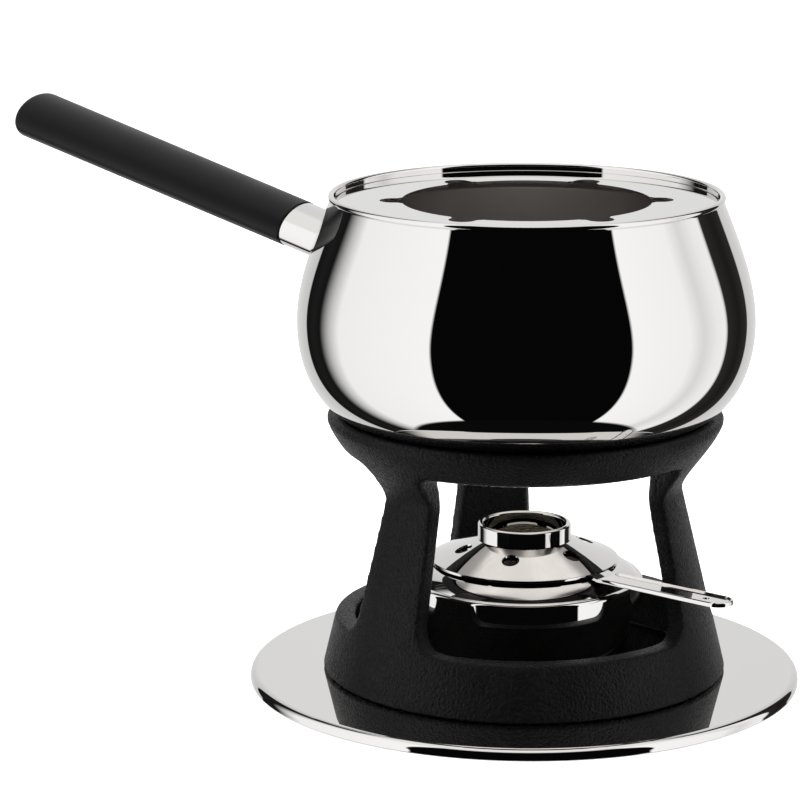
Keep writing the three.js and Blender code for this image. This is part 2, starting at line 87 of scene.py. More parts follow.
# %% Two helpers for every node tree
def colour(hex_value):
    """An sRGB hex value as linear red, green, blue and alpha."""
    shares = [int(hex_value[i:i + 2], 16) / 255 for i in (1, 3, 5)]
    linear = [s / 12.92 if s <= 0.04045 else ((s + 0.055) / 1.055) ** 2.4 for s in shares]
    return (*linear, 1.0)


def node(tree, kind, feeds=None, **settings):
    """Adds a node. feeds maps a socket's name or number to a value or to an output to link."""
    made = tree.nodes.new(kind)
    for key, value in settings.items():
        setattr(made, key, value)
    for key, value in (feeds or {}).items():
        if isinstance(value, bpy.types.NodeSocket):
            tree.links.new(value, made.inputs[key])
        else:
            made.inputs[key].default_value = value
    return made


def ramp(tree, fac, stops):
    """A colour ramp from a list of (place from 0 to 1, hex value)."""
    made = node(tree, "ShaderNodeValToRGB", {"Fac": fac})
    elements = made.color_ramp.elements
    while len(elements) < len(stops):
        elements.new(0.5)
    for element, (position, hex_value) in zip(elements, sorted(stops)):
        element.position = position
        element.color = colour(hex_value)
    return made.outputs["Color"]


print("mid grey on screen is", round(colour("#808080")[0], 3), "as light")

# %% [markdown]
# A long lens from a metre and a half away keeps the round shapes calm, as in a catalogue.
# The camera looks down a little, so that the plate and the pot's mouth open up.

# %% Camera
VIEW_TURN = math.radians(30)  # the set is seen from this far round
CAMERA_PLACE = (-0.0634, -1.5441, 0.4829)  # metres from the axis, before the turn
CAMERA_LENS = 152.1
around_set = Matrix.Rotation(VIEW_TURN, 3, "Z")
camera_yaw, camera_pitch, camera_roll = (math.radians(a) for a in (0.175, 12.744, -0.107))
forward = Vector((
    math.sin(camera_yaw) * math.cos(camera_pitch),
    math.cos(camera_yaw) * math.cos(camera_pitch),
    -math.sin(camera_pitch),
))
level_right = forward.cross(Vector((0, 0, 1))).normalized()
level_up = level_right.cross(forward)
right = level_right * math.cos(camera_roll) + level_up * math.sin(camera_roll)
up = level_up * math.cos(camera_roll) - level_right * math.sin(camera_roll)
looking = Matrix((right, up, -forward)).transposed()

camera = bpy.data.objects.new("camera", bpy.data.cameras.new("camera"))
camera.data.lens = CAMERA_LENS
camera.data.sensor_width = 36
camera.data.clip_start = 0.05
place = around_set @ Vector(CAMERA_PLACE) + AXIS
camera.matrix_world = Matrix.Translation(place) @ (around_set @ looking).to_4x4()
bpy.context.scene.collection.objects.link(camera)
bpy.context.scene.camera = camera
bpy.context.scene.view_settings.view_transform = "Standard"
print("the camera stands at", [round(v, 3) for v in place])

# %% [markdown]
# Polished steel has no look of its own: it shows the room. A studio for steel is a ring of tall
# white screens with black boards between them, and the boards draw the dark edges that make
# a shape readable. Real screens could be modelled, but they would be in the way of other views.
# Here they are painted on the world instead, by compass direction: 0 is towards the camera.
# High up the screens give way to a pale ceiling. Steeply down it is dark, as it is under a pot.
# The camera itself sees a plain white backdrop, whichever way it looks.

# %% Studio screens, painted on the world
SCREENS = [  # degrees from the camera's side, to the right, and the screen's brightness there
    (-180, "#dadada"), (-160, "#cfcfcf"), (-144.6, "#c4c4c4"), (-144, "#121212"),
    (-134, "#1c1c1c"), (-126, "#141414"), (-124, "#5d5d5d"), (-117, "#bdbdbd"),
    (-108, "#f4f4f4"), (-50.6, "#fcfcfc"), (-50.1, "#060606"), (51.1, "#060606"),
    (51.6, "#fcfcfc"), (86, "#f6f6f6"), (96, "#dddbdd"), (106, "#efeeef"), (115, "#f4f4f4"),
    (116, "#2a2928"), (129, "#1c1b1b"), (141, "#2c2a2a"), (142, "#c8c8c8"), (160, "#d2d2d2"),
    (180, "#dadada"),
]
CEILING_FROM, CEILING_FULL = 0.80, 0.90  # how steeply up the view goes, 1 is straight up
FLOOR_FROM, FLOOR_FULL = -0.845, -0.865


def mix_colours(tree, share, first, second):
    """A colour that goes from the first to the second as the share goes from 0 to 1."""
    mixed = node(tree, "ShaderNodeMix", {"Factor": share, 6: first, 7: second}, data_type="RGBA")
    return mixed.outputs[2]


def soft_step(tree, value, start, full):
    """A share that eases from 0 at start to 1 at full."""
    made = node(
        tree, "ShaderNodeMapRange", {"Value": value, 1: start, 2: full},
        interpolation_type="SMOOTHSTEP",
    )
    return made.outputs[0]


world = bpy.data.worlds.new("studio")
world.use_nodes = True
bpy.context.scene.world = world
tree = world.node_tree
tree.nodes.clear()
direction = node(tree, "ShaderNodeTexCoord").outputs["Generated"]
seen_from_camera = node(
    tree, "ShaderNodeVectorRotate", {"Vector": direction, "Angle": -VIEW_TURN},
    rotation_type="Z_AXIS",
)
parts = node(tree, "ShaderNodeSeparateXYZ", {0: seen_from_camera.outputs[0]})
towards = node(tree, "ShaderNodeMath", {0: parts.outputs["Y"], 1: -1.0}, operation="MULTIPLY")
compass = node(
    tree, "ShaderNodeMath", {0: parts.outputs["X"], 1: towards.outputs[0]}, operation="ARCTAN2",
)
turn_share = node(
    tree, "ShaderNodeMapRange", {"Value": compass.outputs[0], 1: -math.pi, 2: math.pi},
)
screens = ramp(
    tree, turn_share.outputs[0], [((angle + 180) / 360, tint) for angle, tint in SCREENS],
)
steepness = parts.outputs["Z"]
up_share = soft_step(tree, steepness, CEILING_FROM, CEILING_FULL)
under_ceiling = mix_colours(tree, up_share, screens, colour("#e8e8e6"))
down_share = soft_step(tree, steepness, FLOOR_FROM, FLOOR_FULL)
room = mix_colours(tree, down_share, under_ceiling, colour("#0a0a0a"))
seen_directly = node(tree, "ShaderNodeLightPath").outputs["Is Camera Ray"]
backdrop = mix_colours(tree, seen_directly, room, colour("#ffffff"))
sky = node(tree, "ShaderNodeBackground", {"Color": backdrop, "Strength": 1.2})
node(tree, "ShaderNodeOutputWorld", {"Surface": sky.outputs[0]})
print(len(SCREENS), "edges painted round the studio")

# %% [markdown]
# The table is a plain pale sheet. It is left out of the steel's reflections, because the painted
# screens go on below the horizon and the steel shows those.

# %% Table and soft lights
def plain_material(name, base, roughness):
    """A material whose nodes are cleared down to its shader."""
    material = bpy.data.materials.new(name)
    material.use_nodes = True
    shader = material.node_tree.nodes["Principled BSDF"]
    shader.inputs["Base Color"].default_value = colour(base)
    shader.inputs["Roughness"].default_value = roughness
    return material, material.node_tree, shader


TABLE_HALF = 9.0  # metres
TABLE_SINK = 0.0002  # under the plate's edge, so that the two faces don't fight
table_mesh = bpy.data.meshes.new("table_sheet")
table_mesh.from_pydata(
    [(x * TABLE_HALF, y * TABLE_HALF, -TABLE_SINK)
     for x, y in ((-1, -1), (1, -1), (1, 1), (-1, 1))],
    [], [(0, 1, 2, 3)],
)
table = bpy.data.objects.new("table_sheet", table_mesh)
card, card_tree, card_shader = plain_material("matt_white_card", "#f4f4f4", 0.9)
card_shader.inputs["Emission Color"].default_value = colour("#ffffff")
card_shader.inputs["Emission Strength"].default_value = 0.45  # lit from under, a light table
table_mesh.materials.append(card)
bpy.context.scene.collection.objects.link(table)
table.visible_glossy = False


SET_MIDDLE, UNDER_POT = 0.12, 0.092  # metres above the table


def soft_light(name, direction_deg, height, distance, size, watts):
    """A square light that points at the middle of the set."""
    lamp = bpy.data.lights.new(name, "AREA")
    lamp.size, lamp.energy = size, watts
    made = bpy.data.objects.new(name, lamp)
    turn = math.radians(direction_deg) + VIEW_TURN
    made.location = AXIS + Vector((
        math.sin(turn) * distance, -math.cos(turn) * distance, height,
    ))
    aim = AXIS + Vector((0, 0, SET_MIDDLE)) - made.location
    made.rotation_euler = aim.to_track_quat("-Z", "Y").to_euler()
    made.visible_glossy = False
    bpy.context.scene.collection.objects.link(made)


soft_light("overhead_light", 180, 1.6, 0.25, 1.6, 34)
soft_light("left_light", 80, 0.7, 1.3, 0.9, 6)
soft_light("right_light", -80, 0.7, 1.3, 0.9, 6)

# A small lamp under the pot shines up at its base, so that the burner has something to mirror.
under_lamp = bpy.data.lights.new("under_pot_light", "AREA")
under_lamp.size, under_lamp.energy = 0.11, 0.055
under_light = bpy.data.objects.new("under_pot_light", under_lamp)
under_light.location = AXIS + Vector((0, 0, UNDER_POT))
under_light.rotation_euler = (math.pi, 0, 0)
bpy.context.scene.collection.objects.link(under_light)
print("stage:", table.name, "and 4 lights")

# %% [markdown]
# ## Finishes
# Mirror-polished stainless steel. The sheet is spun to shape, then buffed with wheels that run
# round it. What the eye gets is a sharp reflection with the faintest waver.
# A flat metal colour would be right too, but the waver tells sheet metal from chrome plate.

# %% Finish: polished stainless steel
def noise(tree, size_mm, detail=2.0, stretch=(1, 1, 1)):
    """Noise with lumps of about size_mm, on the piece's own coordinates."""
    here = node(tree, "ShaderNodeTexCoord").outputs["Object"]
    scaled = node(tree, "ShaderNodeMapping", {"Vector": here, "Scale": stretch}).outputs[0]
    made = node(
        tree, "ShaderNodeTexNoise",
        {"Vector": scaled, "Scale": 1 / (size_mm * MM), "Detail": detail},
    )
    return made.outputs["Fac"]


def bump(tree, height, depth_mm, strength=1.0):
    """Turns a height into a bent normal."""
    made = node(
        tree, "ShaderNodeBump",
        {"Height": height, "Distance": depth_mm * MM, "Strength": strength},
    )
    return made.outputs["Normal"]


def between(tree, fac, low, high):
    """A number that runs from low to high as fac runs from 0.3 to 0.7, where noise lies."""
    made = node(tree, "ShaderNodeMapRange", {"Value": fac, 1: 0.3, 2: 0.7, 3: low, 4: high})
    return made.outputs[0]


def polished_steel():
    """Stainless steel, buffed to a mirror: silvery grey, with a hint of warmth."""
    material, tree, shader = plain_material("polished_stainless_steel", "#e4e3e1", 0.05)
    shader.inputs["Metallic"].default_value = 1.0
    waver = noise(tree, 38)  # a shallow waver left by spinning
    tree.links.new(between(tree, waver, 0.002, 0.006), shader.inputs["Roughness"])
    tree.links.new(bump(tree, waver, 0.012, 0.2), shader.inputs["Normal"])
    return material


def satin_steel():
    """Stainless steel, brushed: the inside of the pot and its base, grey with a soft sheen."""
    material, tree, shader = plain_material("brushed_stainless_steel", "#c9c5c2", 0.35)
    shader.inputs["Metallic"].default_value = 1.0
    scratches = noise(tree, 0.5, stretch=(0.12, 0.12, 1))  # brushed round, as on a lathe
    tree.links.new(between(tree, scratches, 0.28, 0.42), shader.inputs["Roughness"])
    tree.links.new(bump(tree, scratches, 0.01, 0.5), shader.inputs["Normal"])
    return material


steel, satin = polished_steel(), satin_steel()
print("made", steel.name, "and", satin.name)

# %% [markdown]
# Sand-cast iron with a baked-on black finish. Molten iron takes the print of the sand mould, so
# the surface is all fine grain, and light only catches it softly.

# %% Finish: black sand-cast iron
def cast_iron():
    """Grey iron cast in sand and stoved black: dull and dark, with a fine sandy grain."""
    material, tree, shader = plain_material("black_sand_cast_iron", "#0a0a0b", 0.5)
    shader.inputs["Specular IOR Level"].default_value = 0.2
    grain = noise(tree, 1.3, detail=4.0)  # sand grains are 0.3 mm, drawn coarser so that they show
    patches = noise(tree, 14)
    tree.links.new(between(tree, grain, 0.24, 0.55), shader.inputs["Roughness"])
    tint = ramp(tree, patches, [(0.3, "#040405"), (0.7, "#0a0a0b")])
    tree.links.new(tint, shader.inputs["Base Color"])
    tree.links.new(bump(tree, grain, 1.1, 1.0), shader.inputs["Normal"])
    return material


iron = cast_iron()
print("made", iron.name)

# %% [markdown]
# The grip is moulded from a black thermoset plastic that takes heat. The mould's own satin
# texture stays on it, which gives a broad soft shine and no sharp reflection.

# %% Finish: moulded black plastic
def black_plastic():
    """Phenolic plastic from a satin mould: near black, with a broad soft shine."""
    material, tree, shader = plain_material("satin_phenolic_plastic", "#070708", 0.4)
    shader.inputs["Specular IOR Level"].default_value = 0.2
    texture = noise(tree, 0.3, detail=1.0)
    flow = noise(tree, 22)  # faint flow marks from the mould
    tree.links.new(between(tree, flow, 0.36, 0.43), shader.inputs["Roughness"])
    tree.links.new(bump(tree, texture, 0.02, 0.35), shader.inputs["Normal"])
    return material


plastic = black_plastic()
print("made", plastic.name)

# %% [markdown]
# The rest is seldom seen: the wire gauze and the mineral wool inside the burner, the rolled
# aluminium that spreads the heat in the pot's base, and the turned steel of the handle's rod.
# They show when a piece is lifted off, so each still gets a finish of its own.

# %% Finishes: gauze wire, mineral wool, aluminium, turned steel
def gauze_wire():
    """Drawn steel wire, heat-stained: grey with straw-coloured patches."""
    material, tree, shader = plain_material("heat_stained_wire", "#8f8c86", 0.35)
    shader.inputs["Metallic"].default_value = 1.0
    stain = ramp(tree, noise(tree, 9), [(0.35, "#9a9893"), (0.65, "#8a7f6a")])
    tree.links.new(stain, shader.inputs["Base Color"])
    return material


def mineral_wool():
    """Mineral wool: off-white matted fibres that scatter the light."""
    material, tree, shader = plain_material("mineral_wool", "#e4dfd2", 0.95)
    fibres = noise(tree, 0.9, detail=6.0, stretch=(1, 0.35, 1))
    tint = ramp(tree, fibres, [(0.3, "#cfc8b8"), (0.7, "#f0ece2")])
    tree.links.new(tint, shader.inputs["Base Color"])
    tree.links.new(bump(tree, fibres, 0.5), shader.inputs["Normal"])
    return material


def rolled_aluminium():
    """Rolled aluminium plate: pale, with fine straight grain from the rollers."""
    material, tree, shader = plain_material("rolled_aluminium", "#c3c5c7", 0.35)
    shader.inputs["Metallic"].default_value = 1.0
    grain = noise(tree, 0.6, stretch=(1, 0.04, 1))
    tree.links.new(between(tree, grain, 0.28, 0.45), shader.inputs["Roughness"])
    tree.links.new(bump(tree, grain, 0.01, 0.4), shader.inputs["Normal"])
    return material


def turned_steel():
    """Plain carbon steel off the lathe: grey, with fine rings and a thin film of oil."""
    material, tree, shader = plain_material("turned_plain_steel", "#9c9b98", 0.3)
    shader.inputs["Metallic"].default_value = 1.0
    rings = noise(tree, 0.4, stretch=(1, 1, 0.2))
    tree.links.new(between(tree, rings, 0.22, 0.38), shader.inputs["Roughness"])
    tree.links.new(bump(tree, rings, 0.01, 0.4), shader.inputs["Normal"])
    return material


wire, wool, aluminium, bright_steel = (
    gauze_wire(), mineral_wool(), rolled_aluminium(), turned_steel(),
)
print("made", ", ".join(m.name for m in (wire, wool, aluminium, bright_steel)))

# %% [markdown]
# ## Turned shapes
# Nearly every piece is turned: an outline spun round the axis. A Screw modifier could spin it.
# Here the mesh is written directly, because a mirror needs exact normals. Each corner of the
# outline is either smooth or sharp, and long straight runs keep their own normal up to the
# very end, so a flat plate really reflects flat.

# %% Outline helpers: arcs, curves and parallel lines
def arc(r, z, radius, start, end, steps=10):
    """Points on an arc round (r, z), from one angle in degrees to another."""
    angles = [math.radians(start + (end - start) * i / steps) for i in range(steps + 1)]
    return [(r + radius * math.cos(a), z + radius * math.sin(a)) for a in angles]


def curve(a, b, c, d, steps=32):
    """Points on a curve with ends a and d and handles b and c."""
    points = []
    for i in range(steps + 1):
        t = i / steps
        shares = ((1 - t) ** 3, 3 * t * (1 - t) ** 2, 3 * t * t * (1 - t), t ** 3)
        points.append(tuple(sum(s * p[k] for s, p in zip(shares, (a, b, c, d))) for k in (0, 1)))
    return points


def beside(points, distance):
    """The same line moved to the left of its own direction."""
    moved = []
    for i, (r, z) in enumerate(points):
        before, after = points[max(i - 1, 0)], points[min(i + 1, len(points) - 1)]
        run, rise = after[0] - before[0], after[1] - before[1]
        length = math.hypot(run, rise)
        moved.append((r - rise / length * distance, z + run / length * distance))
    return moved


def edge_normals(outline, sharp_deg=32):
    """For each side of a closed outline, its outward normal at its start and at its end."""
    points = np.array(outline)
    along = np.roll(points, -1, axis=0) - points
    lengths = np.linalg.norm(along, axis=1)
    flat = np.column_stack((along[:, 1], -along[:, 0])) / lengths[:, None]
    before = np.roll(flat, 1, axis=0)
    smooth = (flat * before).sum(axis=1) > math.cos(math.radians(sharp_deg))
    mean = flat * lengths[:, None] + before * np.roll(lengths, 1)[:, None]
    mean /= np.maximum(np.linalg.norm(mean, axis=1), 1e-9)[:, None]
    starts = np.where(smooth[:, None], mean, flat)
    ends = np.where(np.roll(smooth, -1)[:, None], np.roll(mean, -1, axis=0), flat)
    return starts, ends


print("a quarter arc has", len(arc(0, 0, 1, 0, 90)), "points")

# %% Spin an outline round the axis
def new_piece(name, mesh, finish=None):
    """Puts a mesh in the scene as an object at the origin."""
    if finish is not None:
        mesh.materials.clear()
        mesh.materials.append(finish)
    made = bpy.data.objects.new(name, mesh)
    bpy.context.scene.collection.objects.link(made)
    return made


def face_outwards(mesh):
    """Turns every face of a closed mesh so that it points outwards."""
    shape = bmesh.new()
    shape.from_mesh(mesh)
    bmesh.ops.recalc_face_normals(shape, faces=shape.faces)
    shape.to_mesh(mesh)
    shape.free()


def counterclockwise(outline):
    """The outline, turned round if it runs clockwise, without doubled points."""
    points = [p for p, q in zip(outline, outline[1:] + outline[:1]) if math.dist(p, q) > 1e-4]
    area = sum(p[0] * q[1] - q[0] * p[1] for p, q in zip(points, points[1:] + points[:1]))
    return points if area > 0 else points[::-1]


def turned(name, outline, finish, sides=192):
    """Spins a closed outline of (radius, height) points in millimetres round the axis."""
    outline = counterclockwise(outline)
    starts, ends = edge_normals(outline)
    angles = [2 * math.pi * k / sides for k in range(sides)]
    circle = [(math.cos(a), math.sin(a)) for a in angles]
    places, rings = [], []
    for r, z in outline:
        on_axis = r < 1e-6
        rings.append([len(places)] * sides if on_axis else
                     list(range(len(places), len(places) + sides)))
        points = circle[:1] if on_axis else circle
        places += [(AXIS.x + r * c * MM, r * s * MM, z * MM) for c, s in points]
    faces, normals = [], []
    for i, (low, high) in enumerate(zip(rings, rings[1:] + rings[:1])):
        if low[0] == low[1] and high[0] == high[1]:
            continue
        for k in range(sides):
            m = (k + 1) % sides
            corners = [(low[k], k, 0), (low[m], m, 0), (high[m], m, 1), (high[k], k, 1)]
            if low[0] == low[1]:
                corners.pop(1)
            elif high[0] == high[1]:
                corners.pop(2)
            faces.append([vertex for vertex, _, _ in corners])
            for _, turn, at_end in corners:
                nr, nz = (ends if at_end else starts)[i]
                normals.append((nr * circle[turn][0], nr * circle[turn][1], nz))
    mesh = bpy.data.meshes.new(name)
    mesh.from_pydata(places, [], faces)
    mesh.shade_smooth()
    mesh.normals_split_custom_set(normals)
    return new_piece(name, mesh, finish)


def show(*pieces):
    """Prints each piece's size and its count of faces."""
    for piece in pieces:
        size = " x ".join(f"{d / MM:.1f}" for d in piece.dimensions)
        print(f"{piece.name}: {size} mm, {len(piece.data.polygons)} faces")


# %% [markdown]
# ## The plate
# A disc of steel sheet with its edge rolled down, so that it stands on the edge and the top
# stays flat. It keeps drips off the table, and it mirrors the stand.

# %% Plate
def plate():
    """The plate: a flat top, a rounded shoulder and a short upright edge, in one sheet."""
    sheet, shoulder = 1.5, 3.5
    edge, height = widest("base_plate"), top("base_plate")
    inner = shoulder - sheet
    return turned("serving_plate", [
        (0, height), *arc(edge - shoulder, height - shoulder, shoulder, 90, 0, 14),
        (edge, 0.35), (edge - 0.35, 0), (edge - sheet + 0.35, 0), (edge - sheet, 0.35),
        *arc(edge - sheet - inner, height - sheet - inner, inner, 0, 90, 8), (0, height - sheet),
    ], steel, sides=256)


serving_plate = plate()
show(serving_plate)

# %% [markdown]
# ## The pot
# The bowl is spun from one steel disc. Its belly is widest a little under half height, and the
# wall then leans in to a rolled rim. Two curves, joined upright at the belly, give that line.
# Inside the rim is a narrow ledge, where the fork ring rests.

# %% The bowl's outline
WALL, LIP = 1.2, 1.5
BELLY, BELLY_RISE, FLAT = widest("pot_bowl"), 52.2, 52.0
MOUTH = BELLY - 15.8  # outside of the wall just under the rim
RIM_HOLE = MOUTH - 2.1
RING_SEAT = 5.1  # from the rim down to the ledge
pot_bottom, pot_rim = bottom("pot_bowl"), top("pot_bowl")
belly_height, shoulder_height = pot_bottom + BELLY_RISE, pot_rim - 2 * LIP
rise = (shoulder_height - belly_height) * 0.316
lower_bowl = curve(
    (FLAT, pot_bottom), (FLAT + (BELLY - FLAT) * 0.866, pot_bottom),
    (BELLY, belly_height - BELLY_RISE * 0.377), (BELLY, belly_height), steps=56,
)
upper_bowl = curve(
    (BELLY, belly_height), (BELLY, belly_height + rise),
    (MOUTH + (BELLY - MOUTH) * 0.544, shoulder_height - rise * 1.194), (MOUTH, shoulder_height),
    steps=44,
)
bowl_outside = lower_bowl + upper_bowl[1:]


def bowl_radius(height):
    """How far the bowl's outside is from the axis at a height."""
    radii, heights = zip(*bowl_outside)
    return float(np.interp(height, heights, radii))


print(f"belly {BELLY:.1f} mm at {belly_height:.1f} mm up, mouth {RIM_HOLE:.1f} mm")

# %% Bowl and base
def bowl():
    """The bowl: outside wall, rolled rim, ledge for the fork ring, and the inside wall."""
    ledge = pot_rim - RING_SEAT
    ledge_inner = RIM_HOLE - 2.4
    inside = [p for p in beside(bowl_outside, WALL) if p[1] < ledge - 6.0]  # it meets the ledge
    made = turned("fondue_bowl", [
        (0, pot_bottom), *bowl_outside,
        *arc(RIM_HOLE + LIP, pot_rim - LIP, LIP, -30, 180, 22),
        *arc(RIM_HOLE - 0.5, ledge + 0.5, 0.5, 0, -90, 4)[:1], (RIM_HOLE - 0.4, ledge),
        *arc(ledge_inner + 0.5, ledge - 0.5, 0.5, 90, 180, 6),
        *reversed(inside), (0, pot_bottom + WALL),
    ], steel, sides=256)
    made.data.materials.append(satin)
    for face in made.data.polygons:  # the inside stays brushed
        middle = (face.center - AXIS) / MM
        inward = face.normal.x * middle.x + face.normal.y * middle.y < 0 or face.normal.z > 0.98
        if inward and middle.z < ledge - 0.8:
            face.material_index = 1
    return made


def base_cap():
    """The steel cap that closes the thick base, with a rounded lower edge."""
    sheet, round_edge = 1.0, 2.0
    edge, low, high = widest("pot_base_cap"), bottom("pot_base_cap"), top("pot_base_cap")
    return turned("base_cap", [
        (0, low), *arc(edge - round_edge, low + round_edge, round_edge, -90, 0, 10),
        (edge, high - 0.3), (edge - 0.3, high), (edge - sheet, high), (edge - sheet, low + sheet),
        (0, low + sheet),
    ], satin)


fondue_bowl, bottom_cap = bowl(), base_cap()
show(fondue_bowl, bottom_cap)

# %% [markdown]
# ## Cuts that repeat round the axis
# The fork ring has six notches, the regulator six air holes and the stand three windows. All are
# one cutter repeated round the axis and taken away. Drawing each cut by hand would work, but
# a Geometry Nodes tree says it once, with the count and the turn as inputs.

# %% A node tree that repeats a cutter round the axis
def start_tree(name, **inputs):
    """An empty node tree for geometry: the tree, its inputs' identifiers, and their outputs."""
    tree = bpy.data.node_groups.new(name, "GeometryNodeTree")
    sockets = {}
    for label, kind in (("Geometry", "Geometry"), *inputs.items(), ("Finish", "Material")):
        item = tree.interface.new_socket(label, in_out="INPUT", socket_type=f"NodeSocket{kind}")
        sockets[label] = item.identifier
    tree.interface.new_socket("Geometry", in_out="OUTPUT", socket_type="NodeSocketGeometry")
    return tree, sockets, node(tree, "NodeGroupInput").outputs


def end_tree(tree, geometry, finish):
    """Ends a tree: the copies are made real, and they get their finish."""
    real = node(tree, "GeometryNodeRealizeInstances", {0: geometry})
    finished = node(
        tree, "GeometryNodeSetMaterial", {"Geometry": real.outputs[0], "Material": finish},
    )
    node(tree, "NodeGroupOutput", {0: finished.outputs[0]})


def cutting_tree():
    """Geometry Nodes: copies of Cutter, Count of them round the axis, are cut from the mesh."""
    tree, sockets, given = start_tree(
        "cuts_round_the_axis", Cutter="Object", Count="Int", Turn="Float", Axis="Vector",
    )
    cutter = node(tree, "GeometryNodeObjectInfo", {"Object": given["Cutter"]})
    seats = node(tree, "GeometryNodePoints", {"Count": given["Count"]})
    copies = node(
        tree, "GeometryNodeInstanceOnPoints",
        {"Points": seats.outputs[0], "Instance": cutter.outputs["Geometry"]},
    )
    step = node(tree, "ShaderNodeMath", {0: 2 * math.pi, 1: given["Count"]}, operation="DIVIDE")
    angle = node(
        tree, "ShaderNodeMath",
        {0: node(tree, "GeometryNodeInputIndex").outputs[0], 1: step.outputs[0], 2: given["Turn"]},
        operation="MULTIPLY_ADD",
    )
    spin = node(tree, "ShaderNodeCombineXYZ", {"Z": angle.outputs[0]})
    spread = node(
        tree, "GeometryNodeRotateInstances",
        {"Instances": copies.outputs[0], "Rotation": spin.outputs[0],
         "Pivot Point": given["Axis"], "Local Space": False},
    )
    cut = node(
        tree, "GeometryNodeMeshBoolean", {"Mesh 1": given["Geometry"], "Mesh 2": spread.outputs[0]},
        operation="DIFFERENCE", solver="EXACT",
    )
    end_tree(tree, cut.outputs["Mesh"], given["Finish"])
    return tree, sockets


def run_tree(piece, tree, sockets, **values):
    """Runs a node tree on a piece and keeps the result as its plain mesh."""
    modifier = piece.modifiers.new(tree.name, "NODES")
    modifier.node_group = tree
    for label, value in values.items():
        modifier[sockets[label]] = value
    bpy.context.view_layer.update()
    seen = piece.evaluated_get(bpy.context.evaluated_depsgraph_get())
    result = bpy.data.meshes.new_from_object(seen)
    piece.modifiers.remove(modifier)
    old, piece.data = piece.data, result
    bpy.data.meshes.remove(old)
    result.name = piece.name
    return piece


CUTS, CUT_SOCKETS = cutting_tree()
print("inputs:", ", ".join(CUT_SOCKETS))

# %% Cutters, and exact normals for what they leave
def cutter_between(name, near, far):
    """A closed block between two rings of points in millimetres, given about the axis."""
    count = len(near)
    places = [(AXIS.x + x * MM, y * MM, z * MM) for x, y, z in (*near, *far)]
    faces = [(k, (k + 1) % count, count + (k + 1) % count, count + k) for k in range(count)]
    faces += [tuple(range(count))[::-1], tuple(range(count, 2 * count))]
    mesh = bpy.data.meshes.new(name)
    mesh.from_pydata(places, [], faces)
    face_outwards(mesh)
    return new_piece(name, mesh)


def cut_round(piece, cutter, count, turn_deg, finish):
    """Takes count copies of the cutter from a piece, and clears the cutter away."""
    run_tree(piece, CUTS, CUT_SOCKETS, Cutter=cutter, Count=count, Turn=math.radians(turn_deg),
             Axis=tuple(AXIS), Finish=finish)
    bpy.data.objects.remove(cutter)
    return piece


def onto_outline(corners, along, r, z):
    """Where (r, z) falls on each side of an outline, as a share of it, and that point."""
    share = np.clip((((r, z) - corners) * along).sum(axis=1) / (along ** 2).sum(axis=1), 0, 1)
    return share, corners + along * share[:, None]


SAME_FACE_GAP = 0.03  # mm from the outline, within which a corner still belongs to it


def shade_turned(piece, outline):
    """Gives the turned faces of a cut piece the exact normals of its outline."""
    outline = counterclockwise(outline)
    starts, ends = edge_normals(outline)
    corners = np.array(outline)
    along = np.roll(corners, -1, axis=0) - corners
    lengths = np.linalg.norm(along, axis=1)
    flat = np.column_stack((along[:, 1], -along[:, 0])) / lengths[:, None]
    mesh = piece.data
    mesh.shade_smooth()
    normals = []
    for face in mesh.polygons:
        for index in face.vertices:
            place = (mesh.vertices[index].co - AXIS) / MM
            r = math.hypot(place.x, place.y)
            c, s = (place.x / r, place.y / r) if r > 1e-6 else (1.0, 0.0)
            facing = np.array((face.normal.x * c + face.normal.y * s, face.normal.z))
            share, nearest = onto_outline(corners, along, r, place.z)
            gap = np.linalg.norm(nearest - (r, place.z), axis=1)
            fit = np.where(gap < SAME_FACE_GAP, flat @ facing, -1)
            best = int(fit.argmax())
            if fit[best] < 0.9:
                normals.append(tuple(face.normal))
                continue
            nr, nz = starts[best] * (1 - share[best]) + ends[best] * share[best]
            length = math.hypot(nr, nz)
            normals.append((nr * c / length, nr * s / length, nz / length))
    mesh.normals_split_custom_set(normals)


# %% [markdown]
# ## The fork ring
# A flat polished disc with a wide mouth. Six notches open into the mouth, and a fork's shaft
# leans in each. Their mouths are rounded, so that a fork slips in.

# %% Fork ring
def fork_ring():
    """The ring: a disc with a half-round outer edge, and six rounded notches."""
    low, high = bottom("fork_ring"), top("fork_ring")
    edge, mouth = widest("fork_ring"), 58.0
    notches, depth, half, soft = 6, 10.0, 6.2, 2.0  # half a notch's width, and its rounded mouth
    round_edge = (high - low) / 2
    outline = [
        (mouth, low), *arc(edge - round_edge, low + round_edge, round_edge, -90, 90, 10),
        (mouth, high),
    ]
    ring = turned("fork_ring_disc", outline, steel, sides=256)
    foot = math.sqrt(mouth ** 2 - (half + soft) ** 2)
    side = [(foot - 4, half + soft)]
    side += [(foot + soft * math.sin(a), half + soft * (1 - math.sin(a) ** 2) * 0.98)
             for a in (math.radians(d) for d in (0, 15, 30, 45, 60, 75))]
    side += [(foot + 2 * soft, half)]
    tip = [(x, y) for x, y in arc(mouth + depth - half, 0, half, 90, -90, 24)]
    notch = side + tip + [(x, -y) for x, y in reversed(side)]
    cutter = cutter_between(
        "notch_cutter", [(x, y, low - 1) for x, y in notch], [(x, y, high + 1) for x, y in notch],
    )
    cut_round(ring, cutter, notches, 180 / notches, steel)
    shade_turned(ring, outline)
    return ring


fork_disc = fork_ring()
show(fork_disc)

# %% [markdown]
# ## The stand
# One iron casting: a foot ring, a conical wall with three windows, and a flared ring whose inside
# is dished to the bowl. Three lugs in the dish carry the pot.
# The turned blank is cut, and then remeshed finely and smoothed. That rounds every edge a little,
# as sand does, which a bevel on such a curved outline can't do evenly.

